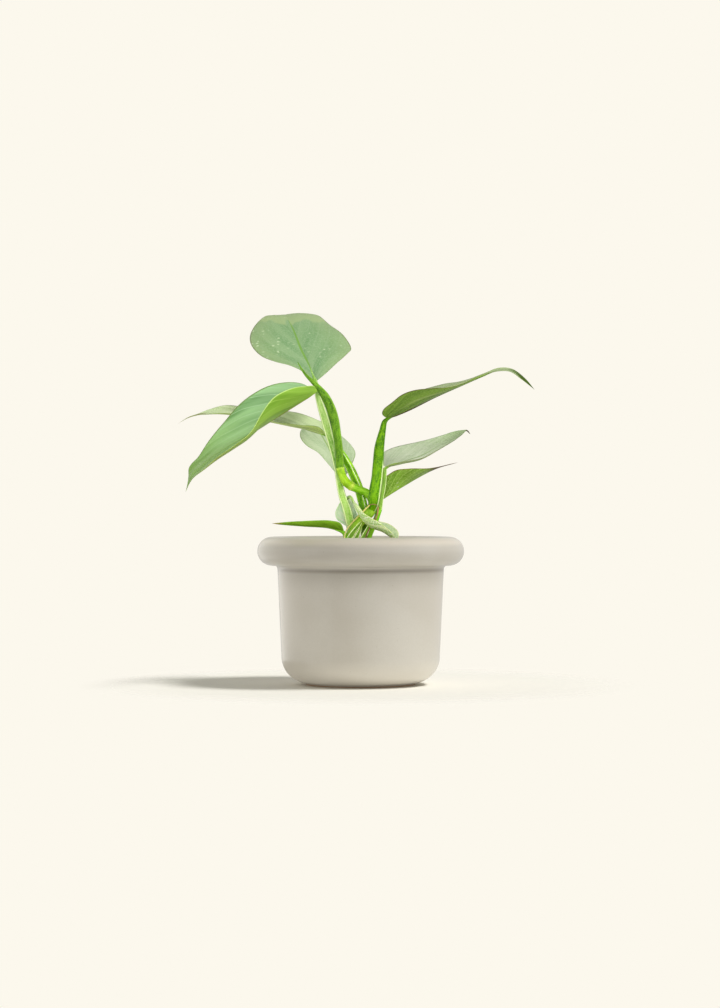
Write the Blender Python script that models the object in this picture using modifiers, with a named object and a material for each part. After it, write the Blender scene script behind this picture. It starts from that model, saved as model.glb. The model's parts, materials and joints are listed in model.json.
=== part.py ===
"""Potted philodendron hastatum.

A young climbing philodendron with ten leaves in a glazed ceramic pot with a
rolled rim. The blades are folded and waved sheets, the petioles and stems are
tapered tubes that stand in plain holes in the potting mix.

Frame: +Z up, origin on the pot's axis at the foot, -Y towards the viewer.
Lengths below are in millimetres and are turned into metres by MM.
"""

import math

import bmesh
import bpy
import numpy as np
from mathutils import Vector

MM = 0.001
CLEARANCE = 0.3
COPE_CLEARANCE = 0.4
WELD_DISTANCE = 0.01

# Pot, turned about Z
RIM_OUTER_DIAMETER = 155.0
POT_HEIGHT = 110.8
RIM_TUBE_RADIUS = 10.7
BODY_RADIUS_TOP = 62.4
BODY_RADIUS_LOW = 59.4
BODY_CORNER_RADIUS = 19.0
FOOT_RADIUS = 41.5
FOOT_HEIGHT = 2.4
FOOT_EDGE = 0.8
WALL = 5.0
UNDER_RIM_FILLET = 3.0
INNER_WALL_HEIGHTS = (55.0, 88.0)
RIM_INNER_ANGLE = 190.0
POT_STEPS = 48
RIM_POINTS = 21
CORNER_POINTS = 8
FILLET_POINTS = 5

# Potting mix
MIX_LEVEL = 98.5
MIX_CROWN = 2.0
MIX_LUMP = 0.7
MIX_RINGS = 7
MIX_EDGE_DROP = 4.0
STEM_HOLE_FLOOR = 92.0
STEM_HOLE_SIDES = 16
STEM_END = 93.0

# Plant
BLADE_THICKNESS = 0.8
BLADE_HALF_COLUMNS = 4
TUBE_POINT_SPACING = 7.0
TUBE_FEWEST_POINTS = 4
THIN_TUBE = 1.0
SPLINE_STEPS = 24
MIDRIB_STEPS = 200

# Colours, linear RGB, with roughness
GLAZE = ("glazed_ceramic_grey", (0.49, 0.45, 0.38), 0.22)
MIX = ("potting_mix_brown", (0.045, 0.028, 0.018), 0.95)
STEM_GREEN = ("stem_green", (0.14, 0.34, 0.03), 0.4)
PETIOLE_GREEN = ("petiole_green", (0.20, 0.42, 0.06), 0.42)
SILVER_GREEN = ("leaf_silver_green", (0.30, 0.44, 0.24), 0.45)
MID_GREEN = ("leaf_mid_green", (0.16, 0.31, 0.07), 0.42)
ROOT_TAN = ("root_tan", (0.55, 0.38, 0.12), 0.7)
ROOT_BROWN = ("root_brown", (0.10, 0.045, 0.02), 0.8)

# Stems and petioles: points (x, y, z) with the radius there, from the lower end up.
TUBES = {
    "vine_stem": (STEM_GREEN, [
        (-8.5, -3, 104.5, 4.2), (-6.5, -3, 113, 4.2), (0, -2, 123, 4.2),
        (7, 0, 130, 4.2), (9, 4, 136, 3.2), (5.5, 5, 143, 2.7),
        (-0.5, 3.5, 146, 2.7), (-8, 1, 149.5, 3.3), (-12, 0, 153, 3.3),
        (-14.5, 0, 158, 3.2), (-15.5, 0, 162.5, 3.2)]),
    "petiole_left": (STEM_GREEN, [
        (-15.8, 0, 163.9, 3.2), (-16.2, -1, 174.5, 3.1), (-17.5, -2.5, 185.5, 3.1),
        (-20, -4, 199, 3.6), (-23, -5, 208.5, 3.5), (-26.8, -6, 216, 3.1),
        (-31.8, -6.5, 222.4, 2.2), (-36.2, -7, 227, 1.5), (-40.6, -7.7, 231.4, 1.05),
        (-44, -8.4, 236, 0.7), (-47, -9, 241.3, 0.4)]),
    "petiole_top": (PETIOLE_GREEN, [
        (-6, 5.5, 104.5, 3), (-6.5, 5, 113, 3), (-8.5, 3.5, 122, 3),
        (-11, 2, 132.5, 3), (-14, 3, 141.5, 2.7), (-15.5, 6.5, 149, 2.6),
        (-17, 7, 159.5, 2.6), (-19.5, 6, 171, 2.5), (-23, 4.5, 185, 2.6),
        (-26.5, 3, 198.5, 2.6), (-29.5, 2.5, 208, 2.4), (-32, 2.5, 216, 2.2),
        (-33.7, 3.4, 226, 1.8)]),
    "petiole_far_left": (STEM_GREEN, [
        (4, 10, 104.5, 3.4), (4, 10, 116, 3.4), (3, 10.5, 128, 3.4),
        (0.5, 11, 140, 3.4), (-2, 11, 149, 3.3), (-4.5, 11, 155, 3.3),
        (-7.5, 11.5, 161.5, 3.2), (-11, 12.5, 168, 2.9), (-16, 13.5, 176, 2.4),
        (-21.5, 13.5, 183.5, 1.9), (-24, 13, 186.5, 1.6)]),
    "petiole_back": (PETIOLE_GREEN, [
        (2, 17, 104.5, 2), (2, 17, 115.5, 2), (2, 17, 129.5, 2),
        (0.5, 17, 138.5, 2), (-3, 18, 145.5, 1.9), (-8.5, 19.5, 150, 1.7),
        (-13.5, 20.7, 153.4, 1.5)]),
    "petiole_right": (STEM_GREEN, [
        (8, -0.5, 131, 3), (9.5, -3, 135.5, 3.6), (10, -4, 139.5, 4.1),
        (10.5, -4.5, 144.5, 4.3),
        (12, -4.5, 154, 4.1), (13, -4, 164.5, 4.0), (14, -3, 178, 3.6),
        (16.5, -2, 190, 2.5), (19, -0.7, 198.4, 1.8)]),
    "side_stem": (STEM_GREEN, [
        (5, 3, 104.5, 2.3), (6.5, 3, 112, 2.3), (11, 3, 122.5, 2.2),
        (14.4, 3.8, 131.5, 1.9)]),
    "petiole_right_middle": (PETIOLE_GREEN, [
        (14.6, 3.8, 132.2, 1.7), (15.5, 3, 139, 1.6), (17.5, 3, 150.5, 1.6),
        (18, 3, 159.5, 1.6), (18.5, 3.5, 162, 1.4)]),
    "petiole_right_low": (PETIOLE_GREEN, [
        (12.5, 3.2, 126.5, 1.5), (12.5, 7.5, 130.5, 1.4), (13, 12.5, 136, 1.3)]),
    "petiole_low_left": (STEM_GREEN, [
        (-11, -9, 105, 1.8), (-12, -8.3, 113.1, 1.6)]),
    "petiole_small": (PETIOLE_GREEN, [
        (-9, 15.5, 104.5, 1.3), (-8.8, 12.6, 117.1, 1)]),
    "petiole_low_front": (PETIOLE_GREEN, [
        (-8, 11, 104.5, 1.2), (-9, 10.5, 113, 1.2), (-10.5, 9, 123.5, 1.2),
        (-12, 7.6, 132.5, 1.2), (-11, 7.6, 138, 1.2), (-8.5, 3, 140.8, 1.2),
        (-6.6, -2.1, 139.4, 1.1)]),
    "root_tan": (ROOT_TAN, [
        (6.6, -6.2, 134.5, 0.5), (1.5, -7.5, 129.5, 0.5), (-2.5, -8, 125.5, 0.5),
        (-8, -9, 119.5, 0.5), (-10.5, -11.5, 116, 0.5), (-12, -13, 111.5, 0.5),
        (-12.5, -14, 104, 0.5)]),
    "root_brown": (ROOT_BROWN, [
        (13, -1, 133, 0.6), (12.5, -2, 128, 0.6), (10, -2, 122.5, 0.6),
        (6, -2, 118, 0.6), (3.5, -2, 114.5, 0.6), (1.5, -2, 110, 0.6),
        (1, -2, 104, 0.6)]),
}
# Tubes that go straight down into the mix from their first point.
STANDING = ["vine_stem", "petiole_top", "petiole_far_left", "petiole_back", "side_stem",
            "petiole_low_left", "petiole_small", "petiole_low_front", "root_tan", "root_brown"]
# Tubes whose foot is hollowed to sit round the tube that carries them.
COPED = {"petiole_right": "vine_stem", "petiole_right_low": "side_stem"}

# Blades: the midrib runs from the petiole to the tip, the two margins run beside it
# between the same two ends. fan > 1 spreads the veins from the base, belly dishes
# each half, as a share of its width.
BLADES = {
    "leaf_top": dict(
        finish=SILVER_GREEN, rows=18, fan=1.25, belly=0.05,
        midrib=[(-34, 4, 227), (-39, 14, 240), (-45, 25, 252), (-50, 38, 265),
                (-55, 52, 276), (-58, 66, 282), (-57, 80, 280), (-55, 90, 272),
                (-51, 96, 258)],
        left=[(-43, 6, 234.5), (-53, 9, 239.5), (-64, 13, 242.5), (-75, 20, 247.5),
              (-83, 29, 256), (-84.5, 40, 264.5), (-80, 52, 274), (-73, 62, 281),
              (-71, 74, 279), (-66, 84, 280), (-58, 91, 272)],
        right=[(-27, 8, 233), (-18, 16, 242), (-10.3, 24, 249.3), (-7.2, 30, 253.5),
               (-13, 40, 264), (-23, 51, 273), (-33, 64, 281.5), (-41, 77, 281.5),
               (-47, 90, 271)]),
    "leaf_left": dict(
        finish=SILVER_GREEN, rows=18, fan=1.1, belly=-0.1,
        midrib=[(-32.2, -8.6, 219.4), (-45, -17, 211), (-63, -27, 199), (-80, -37, 187.6),
                (-96, -46, 178), (-109, -54, 169.5), (-118, -59, 162),
                (-124, -62, 156), (-127, -63, 145)],
        left=[(-39, -22, 222), (-52, -38, 220.4), (-63, -48, 214), (-72, -57, 201.5),
              (-80, -66, 185.5), (-91, -73, 178), (-103, -78, 169.5),
              (-113, -76, 161), (-121, -70, 154.6)],
        right=[(-45, -9, 225.6), (-59, -11, 225.8), (-73, -14, 221.5), (-89.5, -22, 209.8),
               (-102.5, -28, 194.3), (-112.5, -35, 180.8), (-120.3, -43, 168.8),
               (-125, -53, 161)]),
    "leaf_far_left": dict(
        finish=SILVER_GREEN, rows=13, fan=1.1, belly=-0.08,
        midrib=[(-25, 13, 187), (-38, 15, 191), (-50, 17, 195), (-69, 18, 200),
                (-88, 18, 203), (-105, 17, 205), (-119, 16, 204),
                (-130, 15, 201), (-138, 14, 196)],
        left=[(-32, 4, 194), (-45, -3, 196), (-64, -5, 199), (-83, -3, 202),
              (-102, 2, 204), (-117, 9, 203)],
        right=[(-26, 20, 195.2), (-34, 26, 199.8), (-48, 33, 204.8), (-65, 37, 207.3),
               (-85, 37, 209), (-103, 32, 210.4), (-116, 25, 207.4)]),
    "leaf_back": dict(
        finish=SILVER_GREEN, rows=12, fan=1.1, belly=0.05,
        midrib=[(-14, 21, 154), (-19, 27, 164), (-24, 36, 177), (-30, 46, 188),
                (-34, 58, 196), (-35, 70, 199), (-36, 81, 195), (-37, 89, 188)],
        left=[(-19, 21, 159), (-26, 24, 167), (-32, 28, 174), (-41, 34, 180),
              (-46, 41, 186), (-46, 50, 192), (-42, 61, 196), (-39, 74, 195)],
        right=[(-10, 23, 159), (-6, 29, 167), (-4, 36, 174), (-7, 44, 180),
               (-14, 53, 187), (-22, 63, 194), (-31, 75, 195)]),
    "leaf_right_top": dict(
        finish=MID_GREEN, rows=18, fan=1.2, belly=-0.08,
        midrib=[(20, 0, 199.3), (36, 2, 205.8), (56, 6, 215.8), (75, 10, 224.3),
                (92, 14, 231.8), (104, 17, 236.6), (114, 19, 236.6), (124, 21, 230.7),
                (132, 22, 222)],
        left=[(17.4, 6, 203), (19, 13, 208), (27, 20, 213), (39, 26, 219.4),
              (53, 29, 224.2), (64, 28, 227.2), (74, 25, 228.4), (83, 21, 230.6),
              (94, 18, 235), (105, 20, 239), (115, 22, 238.2), (125, 24, 231.2)],
        right=[(16.2, -4, 202.4), (17, -9, 206), (23, -14, 210.8), (31, -18, 216.8),
               (40, -19, 220), (52, -16, 221.4), (65, -6, 222.6), (78, 4, 225.8),
               (90, 12, 231.5), (103, 15, 235.6), (113, 16, 235.4), (122, 18, 229.6)]),
    "leaf_right_middle": dict(
        finish=SILVER_GREEN, rows=12, fan=1.1, belly=-0.08,
        midrib=[(19, 4, 163), (33, 10, 167.6), (46, 15, 172), (57, 20, 178),
                (69, 25, 184), (78, 29, 189), (80, 30, 191), (83, 32, 190)],
        left=[(14, 11, 167.5), (15, 18, 173), (22, 22, 177), (31, 25, 179.8),
              (45, 30, 183.2), (61, 34, 187.4), (72, 35, 191), (78, 33, 191.6)],
        right=[(21, -2, 165), (32, -7, 168.6), (45, -5, 169.8), (57, 4, 175.8),
               (68, 14, 182), (77, 24, 187)]),
    "leaf_right_low": dict(
        finish=MID_GREEN, rows=12, fan=1.1, belly=-0.06,
        midrib=[(13, 13, 137), (19, 14, 141), (32, 17, 149), (46, 20, 157),
                (54, 22, 161), (62, 24, 164), (74, 25, 167)],
        left=[(10, 19, 143), (11, 26, 149), (16, 33, 154), (25, 38, 158),
              (36, 39, 160), (47, 36, 161), (56, 31, 163)],
        right=[(11, 10, 144), (13, 9, 152), (20, 8, 157), (27, 4, 161),
               (36, 2, 162), (46, 7, 162), (55, 15, 163)]),
    "leaf_low_left": dict(
        finish=MID_GREEN, rows=10, fan=1.0, belly=-0.1,
        midrib=[(-12, -8, 114), (-17, -10, 116), (-25, -13, 118), (-41, -18, 119),
                (-55, -23, 120), (-66, -26, 121)],
        left=[(-15, -14, 120.3), (-23, -18, 123), (-34, -22, 123.2), (-45, -24, 122.7),
              (-56, -26.5, 122)],
        right=[(-15, -6, 121), (-22, -8, 123), (-33, -11, 123.2), (-45, -16, 122.7),
               (-56, -21, 122)]),
    "leaf_small_upright": dict(
        finish=SILVER_GREEN, rows=7, fan=1.0, belly=-0.1,
        midrib=[(-9, 12, 118), (-10, 12, 125), (-11, 14, 132), (-12, 16, 142)],
        left=[(-13, 12, 120), (-18, 12, 124), (-19, 12, 129), (-16, 14, 136)],
        right=[(-5, 13, 120), (-2, 13, 125), (-4, 13, 131), (-7, 14, 138)]),
    "leaf_low_front": dict(
        finish=SILVER_GREEN, rows=10, fan=1.0, belly=-0.1,
        midrib=[(-6, -3, 139), (-3, -9, 131), (2, -13, 123), (8, -18, 118),
                (16, -23, 115), (22, -29, 111), (27, -34, 107)],
        left=[(-1.5, -6.5, 134), (5, -10, 126), (12, -12, 123), (20, -16, 121),
              (25, -21, 118), (28, -27, 114)],
        right=[(-2.5, -13.5, 134.5), (2, -19, 129), (8, -26, 125), (15, -32, 121),
               (20, -36, 117), (24, -38, 113)]),
}


def clear_scene():
    for item in list(bpy.data.objects):
        bpy.data.objects.remove(item, do_unlink=True)


def new_collection(name):
    collection = bpy.data.collections.new(name)
    bpy.context.scene.collection.children.link(collection)
    return collection


def material(finish):
    name, colour, roughness = finish
    made = bpy.data.materials.get(name)
    if made is None:
        made = bpy.data.materials.new(name)
        made.use_nodes = True
        shader = made.node_tree.nodes["Principled BSDF"]
        shader.inputs["Base Color"].default_value = (*colour, 1.0)
        shader.inputs["Roughness"].default_value = roughness
        shader.inputs["Metallic"].default_value = 0.0
    return made


def add_object(name, data, finish, collection):
    made = bpy.data.objects.new(name, data)
    collection.objects.link(made)
    if finish is not None:
        data.materials.append(material(finish))
    return made


def show_as_cutter(made):
    made.hide_render = True
    made.display_type = "WIRE"


def cut_away(solid, name, cutter):
    """A Boolean that takes the cutter's shape out of the solid."""
    cut = solid.modifiers.new(name, "BOOLEAN")
    cut.operation = "DIFFERENCE"
    cut.solver = "EXACT"
    cut.object = cutter


def smooth_path(points, count):
    """A Catmull-Rom curve through the points, as count + 1 points at equal steps."""
    knots = np.array(points, float)
    spans = np.linalg.norm(np.diff(knots[:, :3], axis=0), axis=1) ** 0.5
    times = np.concatenate(([0.0], np.cumsum(spans)))
    before = 2 * knots[0] - knots[1]
    after = 2 * knots[-1] - knots[-2]
    knots = np.vstack((before, knots, after))
    times = np.concatenate(([-spans[0]], times, [times[-1] + spans[-1]]))
    dense = []
    for k in range(1, len(knots) - 2):
        t0, t1, t2, t3 = times[k - 1:k + 3]
        p0, p1, p2, p3 = knots[k - 1:k + 3]
        for t in np.linspace(t1, t2, SPLINE_STEPS, endpoint=False):
            a1 = ((t1 - t) * p0 + (t - t0) * p1) / (t1 - t0)
            a2 = ((t2 - t) * p1 + (t - t1) * p2) / (t2 - t1)
            a3 = ((t3 - t) * p2 + (t - t2) * p3) / (t3 - t2)
            b1 = ((t2 - t) * a1 + (t - t0) * a2) / (t2 - t0)
            b2 = ((t3 - t) * a2 + (t - t1) * a3) / (t3 - t1)
            dense.append(((t2 - t) * b1 + (t - t1) * b2) / (t2 - t1))
    dense.append(knots[-2])
    dense = np.array(dense)
    steps = np.linalg.norm(np.diff(dense[:, :3], axis=0), axis=1)
    length = np.concatenate(([0.0], np.cumsum(steps)))
    wanted = np.linspace(0.0, length[-1], count + 1)
    return np.column_stack([np.interp(wanted, length, column) for column in dense.T])


def turned(name, profile, finish, collection):
    """A solid of revolution about Z from (radius, height) points, inside first."""
    mesh = bpy.data.meshes.new(name)
    mesh.from_pydata([(r * MM, 0.0, z * MM) for r, z in profile],
                     [(k, k + 1) for k in range(len(profile) - 1)], [])
    made = add_object(name, mesh, finish, collection)
    screw = made.modifiers.new("Turn", "SCREW")
    screw.steps = POT_STEPS
    screw.render_steps = POT_STEPS
    screw.use_merge_vertices = True
    screw.merge_threshold = WELD_DISTANCE * MM
    screw.use_smooth_shade = True
    return made


def arc(centre, radius, start, end, count):
    """Points on a circle in the (radius, height) plane, angles in degrees."""
    return [(centre[0] + radius * math.cos(math.radians(a)),
             centre[1] + radius * math.sin(math.radians(a)))
            for a in np.linspace(start, end, count)]


RIM_CENTRE = (RIM_OUTER_DIAMETER / 2 - RIM_TUBE_RADIUS, POT_HEIGHT - RIM_TUBE_RADIUS)
CORNER_CENTRE = (BODY_RADIUS_LOW - BODY_CORNER_RADIUS, FOOT_HEIGHT + BODY_CORNER_RADIUS)
POT_FLOOR = FOOT_HEIGHT + WALL


def inner_radius(height):
    """The radius of the pot's inner wall, below the rim roll."""
    share = (height - CORNER_CENTRE[1]) / (RIM_CENTRE[1] - CORNER_CENTRE[1])
    return BODY_RADIUS_LOW + (BODY_RADIUS_TOP - BODY_RADIUS_LOW) * share - WALL


def inside_profile(gap):
    """The pot's inner wall from its floor to under the rim, moved in by gap."""
    corner = BODY_CORNER_RADIUS - WALL
    points = [(0.0, POT_FLOOR + gap)]
    points += arc(CORNER_CENTRE, corner - gap, -90, 0, FILLET_POINTS)
    points += [(inner_radius(z) - gap, z) for z in INNER_WALL_HEIGHTS]
    return points


def make_pot(collection):
    """Cup with a round roll at the rim, a fillet under it and a short flat foot."""
    reach = RIM_TUBE_RADIUS + UNDER_RIM_FILLET
    inset = RIM_CENTRE[0] - BODY_RADIUS_TOP - UNDER_RIM_FILLET
    drop = math.sqrt(reach ** 2 - inset ** 2)
    lean = math.degrees(math.atan2(inset, drop))
    fillet_centre = (BODY_RADIUS_TOP + UNDER_RIM_FILLET, RIM_CENTRE[1] - drop)
    foot_angle = -math.degrees(math.acos((FOOT_RADIUS - CORNER_CENTRE[0])
                                         / BODY_CORNER_RADIUS))
    profile = inside_profile(0.0)
    profile += arc(RIM_CENTRE, RIM_TUBE_RADIUS, RIM_INNER_ANGLE, -90 - lean, RIM_POINTS)
    profile += arc(fillet_centre, UNDER_RIM_FILLET, 90 - lean, 180, FILLET_POINTS)[1:]
    profile += arc(CORNER_CENTRE, BODY_CORNER_RADIUS, 0, foot_angle, CORNER_POINTS)
    profile += [(FOOT_RADIUS, FOOT_EDGE), (FOOT_RADIUS - FOOT_EDGE, 0.0), (0.0, 0.0)]
    return turned("pot", profile, GLAZE, collection)


def mix_height(x, y):
    """The uneven, slightly domed top of the potting mix."""
    dome = MIX_CROWN * (1.0 - (x * x + y * y) / BODY_RADIUS_TOP ** 2)
    lumps = (math.sin(0.31 * x + 1.3) * math.cos(0.27 * y)
             + 0.6 * math.sin(0.55 * y + 0.4 * x) + 0.4 * math.cos(0.83 * x - 0.5 * y))
    return MIX_LEVEL + dome + MIX_LUMP * lumps


def mix_profile():
    """The mix from the pot's floor up its wall, then over the top, where the height
    is left open for mix_height."""
    brim = RIM_CENTRE[0] - RIM_TUBE_RADIUS - CLEARANCE
    profile = inside_profile(CLEARANCE)
    profile += [(brim, RIM_CENTRE[1] - MIX_EDGE_DROP)]
    profile += [(brim * ring / MIX_RINGS, None) for ring in range(MIX_RINGS, -1, -1)]
    return profile


def make_mix(collection, cutters):
    """Potting mix with a lumpy top and a plain hole for each stem that stands in it."""
    profile = mix_profile()
    shell = bmesh.new()
    columns = []
    for step in range(POT_STEPS):
        turn = 2 * math.pi * step / POT_STEPS
        column = []
        for radius, height in profile:
            x, y = radius * math.cos(turn), radius * math.sin(turn)
            z = mix_height(x, y) if height is None else height
            column.append(shell.verts.new((x * MM, y * MM, z * MM)))
        columns.append(column)
    for step, column in enumerate(columns):
        beside = columns[(step + 1) % POT_STEPS]
        for k in range(len(profile) - 1):
            shell.faces.new((column[k], column[k + 1], beside[k + 1], beside[k]))
    bmesh.ops.remove_doubles(shell, verts=shell.verts, dist=WELD_DISTANCE * MM)
    bmesh.ops.triangulate(shell, faces=shell.faces)
    bmesh.ops.recalc_face_normals(shell, faces=shell.faces)
    mesh = bpy.data.meshes.new("potting_mix")
    shell.to_mesh(mesh)
    shell.free()
    made = add_object("potting_mix", mesh, MIX, collection)
    for name in STANDING:
        x, y, _, radius = TUBES[name][1][0]
        hole = stem_hole("hole_for_" + name, x, y, radius + 2 * CLEARANCE, cutters)
        cut_away(made, "Hole " + name, hole)
    return made


def stem_hole(name, x, y, radius, cutters):
    """An upright cylinder from the floor of a stem's hole to above the mix."""
    depth = POT_HEIGHT - STEM_HOLE_FLOOR
    shape = bmesh.new()
    bmesh.ops.create_cone(shape, cap_ends=True, segments=STEM_HOLE_SIDES,
                          radius1=radius * MM, radius2=radius * MM, depth=depth * MM)
    middle = Vector((x, y, STEM_HOLE_FLOOR + depth / 2)) * MM
    bmesh.ops.translate(shape, verts=shape.verts, vec=middle)
    mesh = bpy.data.meshes.new(name)
    shape.to_mesh(mesh)
    shape.free()
    hole = add_object(name, mesh, None, cutters)
    show_as_cutter(hole)
    return hole


def tube_route(name):
    """The tube's points, with its foot in the mix where it stands in it."""
    points = list(TUBES[name][1])
    if name in STANDING:
        x, y, _, radius = points[0]
        points.insert(0, (x, y, STEM_END, radius))
    return points


def make_tube(name, finish, collection, extra=0.0):
    """A tapered round stem as a curve with filled caps."""
    points = tube_route(name)
    length = np.linalg.norm(np.diff(np.array(points)[:, :3], axis=0), axis=1).sum()
    path = smooth_path(points, max(TUBE_FEWEST_POINTS, round(length / TUBE_POINT_SPACING)))
    curve = bpy.data.curves.new(name, "CURVE")
    curve.dimensions = "3D"
    curve.bevel_depth = MM
    curve.bevel_resolution = 4 if path[0][3] > THIN_TUBE else 2
    curve.use_fill_caps = True
    spline = curve.splines.new("POLY")
    spline.points.add(len(path) - 1)
    for point, (x, y, z, radius) in zip(spline.points, path):
        point.co = (x * MM, y * MM, z * MM, 1.0)
        point.radius = radius + extra
    return add_object(name, curve, finish, collection)


def as_mesh(made, collection, finish):
    """The curve object's evaluated mesh with its caps welded, in place of the curve."""
    name = made.name
    matrix = made.matrix_world.copy()
    evaluated = made.evaluated_get(bpy.context.evaluated_depsgraph_get())
    mesh = bpy.data.meshes.new_from_object(evaluated)
    bpy.data.objects.remove(made, do_unlink=True)
    weld = bmesh.new()
    weld.from_mesh(mesh)
    bmesh.ops.remove_doubles(weld, verts=weld.verts, dist=WELD_DISTANCE * MM)
    bmesh.ops.recalc_face_normals(weld, faces=weld.faces)
    weld.to_mesh(mesh)
    weld.free()
    mesh.materials.clear()
    solid = add_object(name, mesh, finish, collection)
    solid.matrix_world = matrix
    return solid


def cope(name, carrier, collection, cutters):
    """Hollow the foot of a tube so that it sits round its carrier with a fine gap."""
    finish = TUBES[name][0]
    solid = as_mesh(bpy.data.objects[name], collection, finish)
    cutter = make_tube(carrier, None, cutters, extra=COPE_CLEARANCE)
    cutter.name = "cope_" + name
    bpy.context.view_layer.update()
    cutter = as_mesh(cutter, cutters, None)
    show_as_cutter(cutter)
    cut_away(solid, "Cope", cutter)


def blade_point(mid, tangent, edge, share, side, belly):
    """A point on one half of a blade, share of the way from midrib to margin."""
    across = edge - mid
    up = np.cross(across, tangent) * side
    size = np.linalg.norm(up)
    if size > 0.0:
        up = up / size
    dish = belly * np.linalg.norm(across) * 4.0 * share * (1.0 - share)
    return mid + across * share + up * dish


def make_blade(name, spec, collection):
    """A leaf blade lofted between its two margins over its midrib."""
    rows = spec["rows"]
    base, tip = spec["midrib"][0], spec["midrib"][-1]
    midrib = smooth_path(spec["midrib"], MIDRIB_STEPS)
    left = smooth_path([base] + spec["left"] + [tip], rows)
    right = smooth_path([base] + spec["right"] + [tip], rows)
    grid = bmesh.new()
    bmesh.ops.create_grid(grid, x_segments=2 * BLADE_HALF_COLUMNS, y_segments=rows, size=0.5)
    for vert in grid.verts:
        row = round((vert.co.y + 0.5) * rows)
        across = vert.co.x * 2.0
        along = (row / rows) ** spec["fan"] * MIDRIB_STEPS
        step = min(int(along), MIDRIB_STEPS - 1)
        tangent = midrib[step + 1] - midrib[step]
        mid = midrib[step] + tangent * (along - step)
        side = 1.0 if across > 0 else -1.0
        edge = (right if across > 0 else left)[row]
        vert.co = Vector(blade_point(mid, tangent, edge, abs(across), side,
                                     spec["belly"])) * MM
    bmesh.ops.remove_doubles(grid, verts=grid.verts, dist=WELD_DISTANCE * MM)
    bmesh.ops.triangulate(grid, faces=grid.faces, quad_method="SHORT_EDGE")
    bmesh.ops.recalc_face_normals(grid, faces=grid.faces)
    mesh = bpy.data.meshes.new(name)
    grid.to_mesh(mesh)
    grid.free()
    mesh.shade_smooth()
    made = add_object(name, mesh, spec["finish"], collection)
    wall = made.modifiers.new("Thickness", "SOLIDIFY")
    wall.thickness = BLADE_THICKNESS * MM
    wall.offset = 0.0
    return made


def main():
    clear_scene()
    plant = new_collection("potted_philodendron")
    cutters = new_collection("cutters")
    make_pot(plant)
    make_mix(plant, cutters)
    for name, (finish, _) in TUBES.items():
        make_tube(name, finish, plant)
    bpy.context.view_layer.update()
    for name, carrier in COPED.items():
        cope(name, carrier, plant, cutters)
    for name, spec in BLADES.items():
        make_blade(name, spec, plant)


main()
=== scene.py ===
# %% [markdown]
# # A potted philodendron hastatum
#
# This lesson dresses a young climbing philodendron that stands in a glazed pot. The solids of the
# plant and the pot are already there, at their real size, as a frame. Most pieces below are finer
# versions of those solids, in the same place, so that the form stays and the surface gains veins,
# grooves, nodes, glaze and soil. Only small things, such as bark chips, have no solid. Lengths in
# the lists are in millimetres, because leaves and stalks are easy to think of in millimetres, and
# MM turns them into Blender's metres.

# %% Load the frame
import json
import math

import bmesh
import bpy
import numpy as np
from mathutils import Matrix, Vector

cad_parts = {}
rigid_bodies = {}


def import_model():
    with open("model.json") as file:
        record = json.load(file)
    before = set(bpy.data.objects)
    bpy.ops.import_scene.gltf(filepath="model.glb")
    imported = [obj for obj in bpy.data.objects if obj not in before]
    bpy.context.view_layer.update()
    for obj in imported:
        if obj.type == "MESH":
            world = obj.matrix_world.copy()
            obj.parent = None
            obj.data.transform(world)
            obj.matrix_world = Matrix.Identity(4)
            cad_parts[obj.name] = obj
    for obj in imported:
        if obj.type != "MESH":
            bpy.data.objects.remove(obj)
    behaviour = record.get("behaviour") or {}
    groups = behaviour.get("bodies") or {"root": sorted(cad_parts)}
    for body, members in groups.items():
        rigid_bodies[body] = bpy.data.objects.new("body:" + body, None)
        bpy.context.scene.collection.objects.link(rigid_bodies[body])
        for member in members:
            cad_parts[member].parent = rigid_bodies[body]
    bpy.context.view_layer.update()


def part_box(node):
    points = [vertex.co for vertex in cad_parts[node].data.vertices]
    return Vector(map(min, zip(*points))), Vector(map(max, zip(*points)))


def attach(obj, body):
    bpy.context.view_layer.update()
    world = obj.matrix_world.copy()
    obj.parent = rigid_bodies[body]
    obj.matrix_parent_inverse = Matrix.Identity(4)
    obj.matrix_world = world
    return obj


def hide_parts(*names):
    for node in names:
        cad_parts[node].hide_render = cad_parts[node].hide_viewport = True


for leftover in list(bpy.data.objects):
    bpy.data.objects.remove(leftover, do_unlink=True)
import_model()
MM = 0.001


def link_object(name, data):
    """An object in the scene that shows the data."""
    made = bpy.data.objects.new(name, data)
    bpy.context.scene.collection.objects.link(made)
    return made


# %% [markdown]
# ## The camera
#
# The picture was taken with a long lens, level with the middle of the plant, so the pot's rim shows
# almost as a straight line and the floor is only a thin strip. A lens near 95 mm at two metres gives
# that flat look, and the camera needs no shift.

# %% Place the camera
CAMERA_PLACE = (-0.0005, -2.0, 0.1354)
LENS = 95.24
SENSOR = 36.0

lens = bpy.data.cameras.new("camera")
lens.lens = LENS
lens.sensor_width = SENSOR
camera = link_object("camera", lens)
camera.location = CAMERA_PLACE
camera.rotation_euler = (math.radians(90), 0, 0)
bpy.context.scene.camera = camera
print("camera at", tuple(camera.location))

# %% [markdown]
# ## Small helpers for node trees
#
# Materials and geometry are both built from nodes here. Writing out every node and link takes many
# lines, so a few helpers do it. A Value is one output of a node. Values can be added, multiplied and
# compared, and each such sum becomes a Math node, so that a tree reads like arithmetic.


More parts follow.
